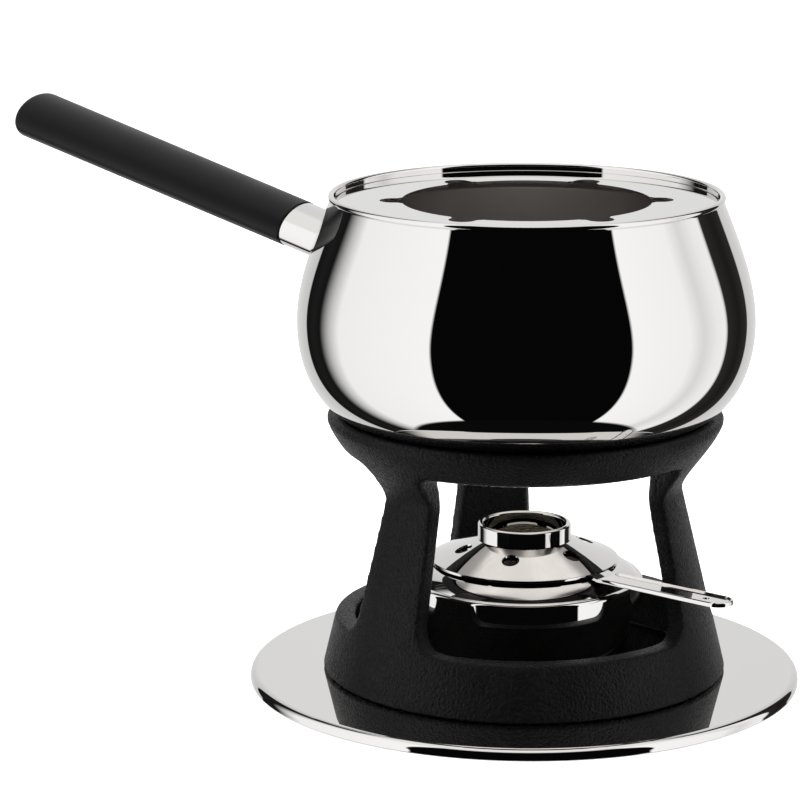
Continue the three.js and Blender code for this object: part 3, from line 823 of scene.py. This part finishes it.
# %% Stand: the blank and its windows
STAND_FOOT, STAND_TOP = bottom("stand_casting"), top("stand_casting")
WAIST = STAND_FOOT + 89.5
RING_BOTTOM = STAND_TOP - 16.5
SILL = STAND_FOOT + 25.7
LEGS, LEG_FOOT_DEG, LEG_HEAD_DEG = 3, 14.0, 12.3  # half of a leg, as seen from the axis
LIP_ROUND, SEAT_GAP, LUG = 2.2, 1.6, 3.6
FOOT_RADIUS = widest("stand_casting")
RING_RADIUS = bowl_radius(STAND_TOP) + 6.3
WAIST_RADIUS = RING_RADIUS - 19.2
FIRST_LEG = 9.5


def stand_outline():
    """The casting's section before its windows: what a turner would leave."""
    flare = (RING_RADIUS - WAIST_RADIUS) * 0.36
    lip = STAND_TOP - LIP_ROUND
    hole = widest("pot_base_cap") + 3.2
    dish = [p for p in beside(lower_bowl, -SEAT_GAP) if p[0] > hole + 0.5 and p[1] < lip - 0.5]
    outside = [(FOOT_RADIUS, STAND_FOOT)] + curve(
        (WAIST_RADIUS, WAIST), (WAIST_RADIUS + flare * 0.26, WAIST + flare * 1.18),
        (RING_RADIUS - flare * 0.42, lip - flare * 1.52), (RING_RADIUS, lip),
    )
    return counterclockwise([
        *outside, *arc(RING_RADIUS - LIP_ROUND, lip, LIP_ROUND, 10, 90, 8),
        *arc(dish[-1][0] + LIP_ROUND, lip, LIP_ROUND, 90, 160, 8), *reversed(dish),
        (hole, dish[0][1]), (hole, RING_BOTTOM), (WAIST_RADIUS - 9, WAIST),
        (FOOT_RADIUS - 10, STAND_FOOT),
    ])


def corner(x, z, toward_x, toward_z, size, steps=10):
    """A rounded corner at (x, z): it comes in from toward_x and leaves towards toward_z."""
    a, b = (x + toward_x * size, z), (x, z + toward_z * size)
    points = []
    for i in range(steps + 1):
        t = i / steps
        points.append(tuple((1 - t) ** 2 * p + 2 * t * (1 - t) * q + t * t * r
                            for p, q, r in zip(a, (x, z), b)))
    return points


def window_cutter():
    """One window, drawn as if unrolled, then bent round the axis."""
    reference = FOOT_RADIUS - 6
    wide = math.radians(180 / LEGS - LEG_FOOT_DEG) * reference
    narrow = math.radians(180 / LEGS - LEG_HEAD_DEG) * reference
    half = corner(wide, SILL, -1, 1, 14) + list(reversed(corner(narrow, RING_BOTTOM, -1, -1, 7)))
    unrolled = half + [(-x, z) for x, z in reversed(half)]
    rings = [
        [(radius * math.cos(x / reference), radius * math.sin(x / reference), z)
         for x, z in unrolled]
        for radius in (WAIST_RADIUS / 2, RING_RADIUS * 1.8)
    ]
    return cutter_between("window_cutter", *rings)


stand_section = stand_outline()
stand_body = turned("stand_body", stand_section, iron)
cut_round(stand_body, window_cutter(), LEGS, FIRST_LEG + 180 / LEGS, iron)
show(stand_body)

# %% Stand: lugs, then the soft skin of a casting
def add_lugs(piece):
    """Three round lugs on the dish's inner rim, over the legs, where the pot rests."""
    shape = bmesh.new()
    shape.from_mesh(piece.data)
    height = STAND_TOP - LUG
    for i in range(LEGS):
        angle = math.radians(FIRST_LEG + 360 / LEGS * i)
        r = bowl_radius(height) + SEAT_GAP
        centre = AXIS + Vector((math.cos(angle) * r * MM, math.sin(angle) * r * MM, height * MM))
        bmesh.ops.create_icosphere(
            shape, subdivisions=3, radius=LUG * MM, matrix=Matrix.Translation(centre),
        )
    shape.to_mesh(piece.data)
    shape.free()


def as_cast(piece, voxel_mm=1.18, rounds=12):
    """Remeshes and smooths a piece, which rounds its edges as a sand mould does."""
    remesh = piece.modifiers.new("skin", "REMESH")
    remesh.mode, remesh.voxel_size, remesh.use_smooth_shade = "VOXEL", voxel_mm * MM, True
    smooth = piece.modifiers.new("wear", "SMOOTH")
    smooth.factor, smooth.iterations = 0.5, rounds
    seen = piece.evaluated_get(bpy.context.evaluated_depsgraph_get())
    result = bpy.data.meshes.new_from_object(seen)
    piece.modifiers.clear()
    piece.data = result


DISH_FROM = 60  # the dish is further from the axis than this


def keep_off_bowl(piece, clearance=0.35):
    """Moves what would touch the bowl outwards, until the clearance is left."""
    for vertex in piece.data.vertices:
        place = (vertex.co - AXIS) / MM
        r = math.hypot(place.x, place.y)
        free = bowl_radius(place.z) + clearance
        if place.z > pot_bottom and DISH_FROM < r < free:
            grow = free / r
            vertex.co.x = AXIS.x + place.x * grow * MM
            vertex.co.y = place.y * grow * MM


def back_to_outline(piece, outline):
    """Puts the turned faces back on their outline, which smoothing has worn a little."""
    corners = np.array(outline)
    along = np.roll(corners, -1, axis=0) - corners
    for vertex in piece.data.vertices:
        place = (vertex.co - AXIS) / MM
        r = math.hypot(place.x, place.y)
        bearing = math.degrees(math.atan2(place.y, place.x)) - FIRST_LEG
        from_leg = (bearing + 180 / LEGS) % (360 / LEGS) - 180 / LEGS
        up_leg = (place.z - SILL) / (RING_BOTTOM - SILL)
        side = LEG_FOOT_DEG + (LEG_HEAD_DEG - LEG_FOOT_DEG) * up_leg
        beside_window = math.radians(side - abs(from_leg)) * r
        outside_window = max(beside_window, SILL - place.z, place.z - RING_BOTTOM)
        pull = min(max((outside_window - 1.5) / 2.0, 0), 1)
        if pull == 0:
            continue
        _, nearest = onto_outline(corners, along, r, place.z)
        gap = np.linalg.norm(nearest - (r, place.z), axis=1)
        best = int(gap.argmin())
        to_corner = np.linalg.norm(corners - nearest[best], axis=1).min()
        rounded_edge = to_corner < 1.2 and gap[best] > 0.12
        if gap[best] > 0.8 or rounded_edge:
            continue
        move = (nearest[best] - (r, place.z)) * pull
        grow = (r + move[0]) / r
        vertex.co = AXIS + Vector((place.x * grow, place.y * grow, place.z + move[1])) * MM


def stay_in_box(piece, node_name):
    """Keeps a remeshed piece inside its CAD box."""
    low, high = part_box(node_name)
    for vertex in piece.data.vertices:
        vertex.co = [min(max(v, a), b) for v, a, b in zip(vertex.co, low, high)]


add_lugs(stand_body)
as_cast(stand_body)
back_to_outline(stand_body, stand_section)
keep_off_bowl(stand_body)
stay_in_box(stand_body, "stand_casting")
stand_body.data.materials.clear()
stand_body.data.materials.append(iron)
show(stand_body)

# %% [markdown]
# ## The burner
# A spun steel tank with mineral wool inside, which holds the spirit. Wire gauze lies on the wool.
# The cover sits on the tank: a skirt, a low dome, and a cone with six air holes. The regulator's
# own cone turns on it and opens or shuts the holes.

# %% Tank, wool and the sizes that the cones share
SHEET = 1.0
TANK_FOOT, TANK_TOP = bottom("burner_tank"), top("burner_tank")
SKIRT, CONE_RIM = widest("burner_cover"), 44.5
CONE_HEIGHT = TANK_FOOT + 52.5
COLLAR_BORE, COLLAR_WALL = 19.3, 2.7
COLLAR = COLLAR_BORE + COLLAR_WALL
CONE_RISE, COLLAR_HEIGHT, COVER_GAP = 9.0, 8, 0.8
SLOPE = CONE_RISE / (CONE_RIM - COLLAR)
NECK = COLLAR_BORE + 1.1
CONE_HOLE = NECK + 0.4


def cone_height(radius):
    """The height of the regulator cone's outer face at a radius."""
    return CONE_HEIGHT + (CONE_RIM - radius) * SLOPE


def tank():
    """The tank: a round-footed cup of spun sheet."""
    edge, foot_round = widest("burner_tank"), 7
    centre = (edge - foot_round, TANK_FOOT + foot_round)
    return turned("spirit_tank", [
        (0, TANK_FOOT), *arc(*centre, foot_round, -90, 0, 14), (edge, TANK_TOP - 0.3),
        (edge - 0.3, TANK_TOP), (edge - SHEET, TANK_TOP),
        *arc(*centre, foot_round - SHEET, 0, -90, 12), (0, TANK_FOOT + SHEET),
    ], steel, sides=160)


def wool_pad():
    """The wool: a soft-edged disc that fills the tank, with a matted, uneven top."""
    low, high, edge = bottom("wadding"), top("wadding"), widest("wadding")
    rings = [(edge * i / 18, high - 0.25) for i in range(17)]
    pad = turned("mineral_wool_pad", [
        *rings, *arc(edge - 1.5, high - 1.75, 1.5, 80, 0, 4), (edge, low + 8),
        (edge - 7.5, low), (0, low),
    ], wool, sides=96)
    spread = np.random.default_rng(11).uniform(0.1, 0.9, len(pad.data.vertices))
    for vertex, share in zip(pad.data.vertices, spread):
        if vertex.co.z > (high - 2) * MM:
            vertex.co.z -= share * MM
    return pad


spirit_tank, wool_disc = tank(), wool_pad()
show(spirit_tank, wool_disc)

# %% [markdown]
# Gauze is a plain weave: each wire goes over one and under the next. It could be an image, but
# real wires catch the light. One node tree draws the warp and the weft: rows of straight lines,
# bent up and down by a sine that flips from row to row, then given a thickness.

# %% Woven wire gauze
def gauze_tree():
    """Geometry Nodes: a disc of plain-woven wire, from its radius, pitch and wire thickness."""
    tree, sockets, given = start_tree(
        "woven_gauze", Radius="Float", Pitch="Float", Wire="Float", Wave="Float", Centre="Vector",
    )

    def maths(operation, a, b=0.0):
        return node(tree, "ShaderNodeMath", {0: a, 1: b}, operation=operation).outputs[0]

    across = maths("MULTIPLY", given["Radius"], 2.0)
    count = maths("FLOOR", maths("DIVIDE", across, given["Pitch"]))
    index = node(tree, "GeometryNodeInputIndex").outputs[0]
    middle = maths("MULTIPLY", maths("SUBTRACT", count, 1.0), 0.5)
    shift = maths("MULTIPLY", maths("SUBTRACT", index, middle), given["Pitch"])
    square = maths("SUBTRACT", maths("MULTIPLY", given["Radius"], given["Radius"]),
                   maths("MULTIPLY", shift, shift))
    half = maths("SQRT", maths("MAXIMUM", square, 0.000004))  # no wire shorter than 4 mm
    wires = []
    for turn, flip in ((0.0, 0.0), (math.pi / 2, 1.0)):
        sideways = node(tree, "ShaderNodeCombineXYZ", {"Y": shift}).outputs[0]
        seats = node(tree, "GeometryNodePoints", {"Count": count, "Position": sideways})
        line = node(tree, "GeometryNodeCurvePrimitiveLine", {"Start": (-1, 0, 0), "End": (1, 0, 0)})
        fine = node(tree, "GeometryNodeResampleCurve", {"Curve": line.outputs[0], "Count": 140})
        length = node(tree, "ShaderNodeCombineXYZ", {"X": half, "Y": 1.0, "Z": 1.0})
        rows = node(
            tree, "GeometryNodeInstanceOnPoints",
            {"Points": seats.outputs[0], "Instance": fine.outputs[0], "Scale": length.outputs[0]},
        )
        real = node(tree, "GeometryNodeRealizeInstances", {0: rows.outputs[0]})
        here = node(tree, "GeometryNodeInputPosition").outputs[0]
        x, y, _ = node(tree, "ShaderNodeSeparateXYZ", {0: here}).outputs
        beat = maths("DIVIDE", maths("MULTIPLY", x, math.pi), given["Pitch"])
        row = maths("ROUND", maths("DIVIDE", y, given["Pitch"]))
        phase = maths("MULTIPLY", maths("ADD", row, flip), math.pi)
        lift = maths("MULTIPLY", maths("SINE", maths("ADD", beat, phase)), given["Wave"])
        upwards = node(tree, "ShaderNodeCombineXYZ", {"Z": lift}).outputs[0]
        waved = node(
            tree, "GeometryNodeSetPosition", {"Geometry": real.outputs[0], "Offset": upwards},
        )
        ring = node(
            tree, "GeometryNodeCurvePrimitiveCircle",
            {"Resolution": 5, "Radius": given["Wire"]},
        )
        thick = node(
            tree, "GeometryNodeCurveToMesh",
            {"Curve": waved.outputs[0], "Profile Curve": ring.outputs[0], "Fill Caps": True},
        )
        placed = node(
            tree, "GeometryNodeTransform",
            {"Geometry": thick.outputs[0], "Rotation": (0, 0, turn),
             "Translation": given["Centre"]},
        )
        wires.append(placed.outputs[0])
    both = node(tree, "GeometryNodeJoinGeometry")
    for output in wires:
        tree.links.new(output, both.inputs[0])
    end_tree(tree, both.outputs[0], given["Finish"])
    return tree, sockets


def gauze():
    """The gauze disc, in the room that its CAD piece holds."""
    low, high = bottom("gauze_disc"), top("gauze_disc")
    thickness = high - low
    radius = thickness * 0.2
    tree, sockets = gauze_tree()
    disc = new_piece("burner_gauze", bpy.data.meshes.new("burner_gauze"))
    centre = AXIS + Vector((0, 0, (low + high) / 2 * MM))
    return run_tree(
        disc, tree, sockets, Radius=(widest("gauze_disc") - 0.5) * MM, Pitch=2.4 * MM,
        Wire=radius * MM, Wave=(thickness / 2 - radius) * MM, Centre=tuple(centre), Finish=wire,
    )


burner_gauze = gauze()
show(burner_gauze)

# %% Cover and regulator cone, with the same six air holes
def dome_points():
    """The low dome between the skirt and the cone, a shallow bulge."""
    foot, crown = (SKIRT - 2.2, TANK_FOOT + 44.3), (CONE_RIM - 1.9, TANK_FOOT + 50.7)
    pull = ((foot[0] + crown[0]) / 2 + 0.4, (foot[1] + crown[1]) / 2 + 1.8)
    start = (foot[0] - 0.4, foot[1] + 0.1)
    thirds = [tuple(a + (b - a) * 2 / 3 for a, b in zip(end, pull)) for end in (start, crown)]
    return curve(start, *thirds, crown, steps=20)


HOLES, FIRST_HOLE, HOLE_RADIUS = 6, -14.6, 4.1
HOLES_FROM_AXIS = COLLAR + 8
DROP = SHEET * math.hypot(1, SLOPE)  # the sheet's thickness, measured upright


def air_hole():
    """A round cutter for one air hole, near the collar on the cone's slope."""
    ring = arc(HOLES_FROM_AXIS, 0, HOLE_RADIUS, 0, 360, 40)[:-1]
    low, high = TANK_FOOT + 45, CONE_HEIGHT + 14  # from under the cover to over the cone
    return cutter_between(
        "air_hole_cutter", [(x, y, low) for x, y in ring], [(x, y, high) for x, y in ring],
    )


def with_air_holes(name, outline):
    """A turned steel piece with the ring of air holes cut through it."""
    made = turned(name, outline, steel, sides=160)
    cut_round(made, air_hole(), HOLES, FIRST_HOLE, steel)
    shade_turned(made, outline)
    return made


def cover():
    """The cover: skirt, dome and inner cone in one sheet, open in the middle."""
    under = DROP + COVER_GAP
    foot = CONE_RIM - 3.5
    outside = [
        (SKIRT, bottom("burner_cover")), *arc(SKIRT - 2, TANK_FOOT + 42.3, 2, 0, 85, 10),
        *dome_points(), (foot, cone_height(foot) - under),
        (CONE_HOLE, cone_height(CONE_HOLE) - under),
    ]
    inside = beside(outside, SHEET)
    inside[0] = (SKIRT - SHEET, outside[0][1])
    inside[-1] = (CONE_HOLE, inside[-1][1])
    return with_air_holes("burner_hood", outside + inside[::-1])


def regulator_cone():
    """The regulator: a shallow cone with its rim turned down."""
    edge = CONE_RIM - 0.6
    inner = CONE_RIM - SHEET
    return with_air_holes("regulator_disc", [
        (CONE_HOLE, cone_height(CONE_HOLE)), (edge, cone_height(edge)),
        *arc(edge, cone_height(edge) - 0.6, 0.6, 66, 0, 5), (CONE_RIM - 0.1, CONE_HEIGHT - DROP),
        (inner, cone_height(inner) - DROP), (CONE_HOLE, cone_height(CONE_HOLE) - DROP),
    ])


burner_hood, regulator_disc = cover(), regulator_cone()
show(burner_hood, regulator_disc)

# %% [markdown]
# The collar is the burner's mouth, a turned ring with a round lip. Its neck goes down through
# both cones, and a flange under the cover holds them together.

# %% Collar
def collar():
    """The collar: lip, bore, flange and neck in one turned outline."""
    high = cone_height(COLLAR) + COLLAR_HEIGHT
    lip, gap = COLLAR_WALL / 2, 0.3
    low = bottom("regulator_collar")
    flange, flange_top = NECK + 2.2, low + 0.8
    return turned("burner_collar", [
        (COLLAR, cone_height(COLLAR) + gap), *arc(COLLAR - lip, high - lip, lip, 0, 180, 20),
        (COLLAR_BORE, low), (flange, low), (flange, flange_top), (NECK, flange_top),
        (NECK, cone_height(NECK) + gap),
    ], steel, sides=160)


burner_collar = collar()
show(burner_collar)

# %% [markdown]
# The lever is a pressed strip with raised edges, a round tip and a hanging hole. It is drawn as
# a grid, fine where it bends: the height of each point comes from how near the edge it is.
# It leaves the regulator's rim, slopes down a little and then runs level out of the stand.
# A bent plane with a Solidify modifier would do for the strip, but not for ribs that fade out.

# %% Lever
LEVER_ANGLE = math.radians(FIRST_LEG - 14 - 6)
LEVER_TOP = CONE_HEIGHT - 1.4
LEVER_TIP, LEVER_HALF, LEVER_SHEET, LEVER_RIB = 118.5, 7.0, 1.2, 0.9
LEVER_ROOT, LEVER_LEVEL = CONE_RIM + 0.3, CONE_RIM + 4.5


def lever_place(along, across, height):
    """A point on the lever, in metres: along it, across it and its height."""
    c, s = math.cos(LEVER_ANGLE), math.sin(LEVER_ANGLE)
    return AXIS + Vector((along * c - across * s, along * s + across * c, height)) * MM


def lever_top(along, across):
    """The height of the lever's upper face without its ribs: a short slope, then level."""
    from_axis = math.hypot(along, across)
    return float(np.interp(from_axis, (LEVER_ROOT, LEVER_LEVEL), (CONE_HEIGHT - 0.4, LEVER_TOP)))


def lever():
    """The lever's strip, its two faces drawn as grids and joined round the edge."""
    tip_start = LEVER_TIP - LEVER_HALF
    shares = [math.sin(math.radians(a)) for a in range(-90, 91, 6)]
    starts = [math.sqrt(LEVER_ROOT ** 2 - (share * LEVER_HALF) ** 2) for share in shares]
    fractions = list(np.linspace(0, 0.09, 10)) + list(np.linspace(0.11, 1, 34))
    bends = (8, 16, 24, 32, 40, 48, 56, 63, 70, 76, 81, 85, 88)
    tips = [tip_start + LEVER_HALF * math.sin(math.radians(a)) for a in bends]
    rows, columns = len(fractions) + len(tips), len(shares)
    places = []
    for face in ("top", "under"):
        for row in range(rows):
            for share, start in zip(shares, starts):
                if row < len(fractions):
                    along = start + (tip_start - start) * fractions[row]
                else:
                    along = tips[row - len(fractions)]
                past = max(along - tip_start, 0)
                across = share * math.sqrt(max(LEVER_HALF ** 2 - past ** 2, 0.01))
                edge = LEVER_HALF - (math.hypot(past, across) if past else abs(across))
                strip = min(max((along - LEVER_LEVEL) / 2.0, 0), 1)
                profile = np.interp(edge, (0, 0.3, 1.0, 1.8), (0.5, 1, 1, 0))
                rib = LEVER_RIB * strip * float(profile)
                height = lever_top(along, across) + (rib if face == "top" else -LEVER_SHEET)
                places.append(lever_place(along, across, height))
    half_count = rows * columns
    faces = []
    for i in range(rows - 1):
        for k in range(columns - 1):
            a, b = i * columns + k, (i + 1) * columns + k
            faces += [(a, b, b + 1, a + 1),
                      (half_count + a, half_count + a + 1, half_count + b + 1, half_count + b)]
        for k in (0, columns - 1):  # the two long sides
            a, b = i * columns + k, (i + 1) * columns + k
            faces.append((a, b, half_count + b, half_count + a))
    for i in (0, rows - 1):  # the root and the tip
        for k in range(columns - 1):
            a = i * columns + k
            faces.append((a, a + 1, half_count + a + 1, half_count + a))
    mesh = bpy.data.meshes.new("regulator_arm")
    mesh.from_pydata(places, [], faces)
    face_outwards(mesh)
    return new_piece("regulator_arm", mesh, steel)


def hanging_hole(piece):
    """Cuts the small hole near the tip, with the same tree as the other cuts."""
    middle, hole_radius = LEVER_TIP - 13.5, 1.6
    c, s = math.cos(LEVER_ANGLE), math.sin(LEVER_ANGLE)
    ring = arc(middle * c, middle * s, hole_radius, 0, 360, 28)[:-1]
    low, high = LEVER_TOP - 5, LEVER_TOP + 5  # well past both faces
    cutter = cutter_between(
        "hole_cutter", [(x, y, low) for x, y in ring], [(x, y, high) for x, y in ring],
    )
    return cut_round(piece, cutter, 1, 0, steel)


regulator_arm = hanging_hole(lever())
regulator_arm.data.shade_smooth()
regulator_arm.data.set_sharp_from_angle(angle=math.radians(35))
show(regulator_arm)

# %% [markdown]
# ## The handle
# The handle slopes up from the bowl. A polished oval ferrule covers the welded bracket, and the
# oval grip is moulded round a steel rod. It swells a little towards its end.
# All of it is drawn in the handle's own frame, where Z runs outwards along the grip.

# %% The handle's own frame
TILT = math.radians(15.7)
REACH, GRIP_LENGTH, HALF_HEIGHT, HALF_WIDTH, SWELL = 23.0, 161.0, 11.0, 18.2, 1.035
root_height = pot_rim - 31.5
handle_origin = Vector((
    -bowl_radius(root_height) - REACH * math.cos(TILT), 0, root_height + REACH * math.sin(TILT),
))
handle_axes = Matrix((
    (0, -1, 0), (math.sin(TILT), 0, math.cos(TILT)), (-math.cos(TILT), 0, math.sin(TILT)),
)).transposed()


def from_handle(x, y, z):
    """A point of the handle's frame, in millimetres, as a place in the scene."""
    return AXIS + (handle_origin + handle_axes @ Vector((x, y, z))) * MM


def oval_shell(name, sections, finish, sides=128):
    """A closed shell through oval sections: (half width, half height, place along the grip).

    A place may be a function of the section's own x and y, where an end isn't flat."""
    places, faces = [], []
    for half_width, half_height, along in sections:
        for k in range(sides):
            angle = 2 * math.pi * k / sides
            x, y = half_width * math.cos(angle), half_height * math.sin(angle)
            places.append(from_handle(x, y, along(x, y) if callable(along) else along))
    count = len(sections)
    for i in range(count):
        for k in range(sides):
            m, j = (k + 1) % sides, (i + 1) % count
            faces.append((i * sides + k, i * sides + m, j * sides + m, j * sides + k))
    mesh = bpy.data.meshes.new(name)
    mesh.from_pydata(places, [], faces)
    face_outwards(mesh)
    mesh.shade_smooth()
    mesh.set_sharp_from_angle(angle=math.radians(30))
    return new_piece(name, mesh, finish)


print("the grip's end is at", [round(v, 3) for v in from_handle(0, 0, GRIP_LENGTH)])

# %% Ferrule, grip and end plug
def to_bowl(x, y):
    """How far back along the handle a line runs before it is a hair's breadth off the bowl."""
    near, far = -60.0, 0.0
    for _ in range(40):
        middle = (near + far) / 2
        place = (from_handle(x, y, middle) - AXIS) / MM
        outside = math.hypot(place.x, place.y) > bowl_radius(place.z) + 0.3
        near, far = (near, middle) if outside else (middle, far)
    return far


def ferrule():
    """The ferrule: an oval sleeve, trimmed to the bowl at its root."""
    wall, slimmer, soft, end = 1.4, 0.25, 0.3, -0.15
    k = HALF_WIDTH / HALF_HEIGHT
    h = HALF_HEIGHT - slimmer
    inner = h - wall
    return oval_shell("handle_sleeve", [
        (h * k, h, to_bowl), (h * k, h, end - soft), ((h - soft) * k, h - soft, end),
        (inner * k, inner, end), (inner * k, inner, to_bowl),
    ], steel)


def grip():
    """The grip: oval, a little thicker at its far end, with a bore and room for the rod's head."""
    k = HALF_WIDTH / HALF_HEIGHT
    end_round, near_edge, slices = 4.0, 0.8, 24
    bore, head_room, head_seat, plug_room, plug_depth = 3.4, 6.8, 149, 7.7, 4
    sections = [(bore, bore, 0.3), ((HALF_HEIGHT - 0.5) * k, HALF_HEIGHT - 0.5, 0.3)]
    sections += [(HALF_HEIGHT * k, HALF_HEIGHT, near_edge)]
    for i in range(1, slices):
        share = i / slices
        h = HALF_HEIGHT * (1 + (SWELL - 1) * share)
        sections.append((h * k, h, near_edge + (GRIP_LENGTH - end_round - near_edge) * share))
    far = HALF_HEIGHT * SWELL
    for r, z in arc(far - end_round, GRIP_LENGTH - end_round, end_round, 0, 82, 14):
        sections.append((r * k, r, z))
    sections += [
        (8.0, 7.75, GRIP_LENGTH), (plug_room, plug_room, GRIP_LENGTH - 0.2),
        (plug_room, plug_room, GRIP_LENGTH - plug_depth),
        (head_room, head_room, GRIP_LENGTH - plug_depth), (head_room, head_room, head_seat),
        (bore, bore, head_seat),
    ]
    return oval_shell("handle_grip_moulding", sections, plastic)


def end_plug():
    """The plug: a low dome that hides the rod's head."""
    edge, rise, pole = 7.4, 1.6, 0.02  # the pole closes the plug in the middle
    back = GRIP_LENGTH - 3.7
    sections = [(pole, pole, back), (edge, edge, back)]
    sections += [(r, r, GRIP_LENGTH - 0.3 + z * rise / edge)
                 for r, z in arc(0, 0, edge, 0, 88, 14)]
    sections[-1] = (pole, pole, sections[-1][2])
    return oval_shell("grip_end_plug", sections, plastic, sides=64)


handle_sleeve, handle_moulding, grip_plug = ferrule(), grip(), end_plug()
show(handle_sleeve, handle_moulding, grip_plug)

# %% [markdown]
# ## What moves with what
# Each piece rides on the CAD body that it belongs to, and stands in for its CAD piece. Then a
# changed pose carries it along.

# %% Ride and replace
PIECES = [  # piece, body, record slot, the CAD pieces it stands for
    (serving_plate, "plate", "polished_steel", ["base_plate"]),
    (stand_body, "stand", "cast_iron", ["stand_casting"]),
    (spirit_tank, "burner", "polished_steel", ["burner_tank"]),
    (wool_disc, "burner", "wadding_wool", ["wadding"]),
    (burner_gauze, "burner", "wire_gauze", ["gauze_disc"]),
    (burner_hood, "cover", "polished_steel", ["burner_cover"]),
    (regulator_disc, "regulator", "polished_steel", ["regulator_cone"]),
    (burner_collar, "regulator", "polished_steel", ["regulator_collar"]),
    (regulator_arm, "regulator", "polished_steel", ["regulator_lever"]),
    (fondue_bowl, "pot", "polished_steel", ["pot_bowl"]),
    (bottom_cap, "pot", "polished_steel", ["pot_base_cap"]),
    (handle_sleeve, "pot", "polished_steel", ["handle_ferrule"]),
    (handle_moulding, "pot", "black_resin", ["handle_grip"]),
    (grip_plug, "pot", "black_resin", ["handle_end_plug"]),
    (fork_disc, "fork_ring", "polished_steel", ["fork_ring"]),
]
for piece, body, slot, stands_for in PIECES:
    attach(piece, body)
    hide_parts(*stands_for)

# %% [markdown]
# Four CAD pieces stay as they are, because their plain shapes are right. They only get a finish.

# %% Finishes for the CAD pieces that stay
for name, finish in (("pot_base_core", aluminium), ("handle_bracket", bright_steel),
                     ("handle_tie_rod", bright_steel), ("handle_washer", bright_steel)):
    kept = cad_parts[name]
    kept.data.materials.clear()
    kept.data.materials.append(finish)
    print(name, "is now", finish.name)
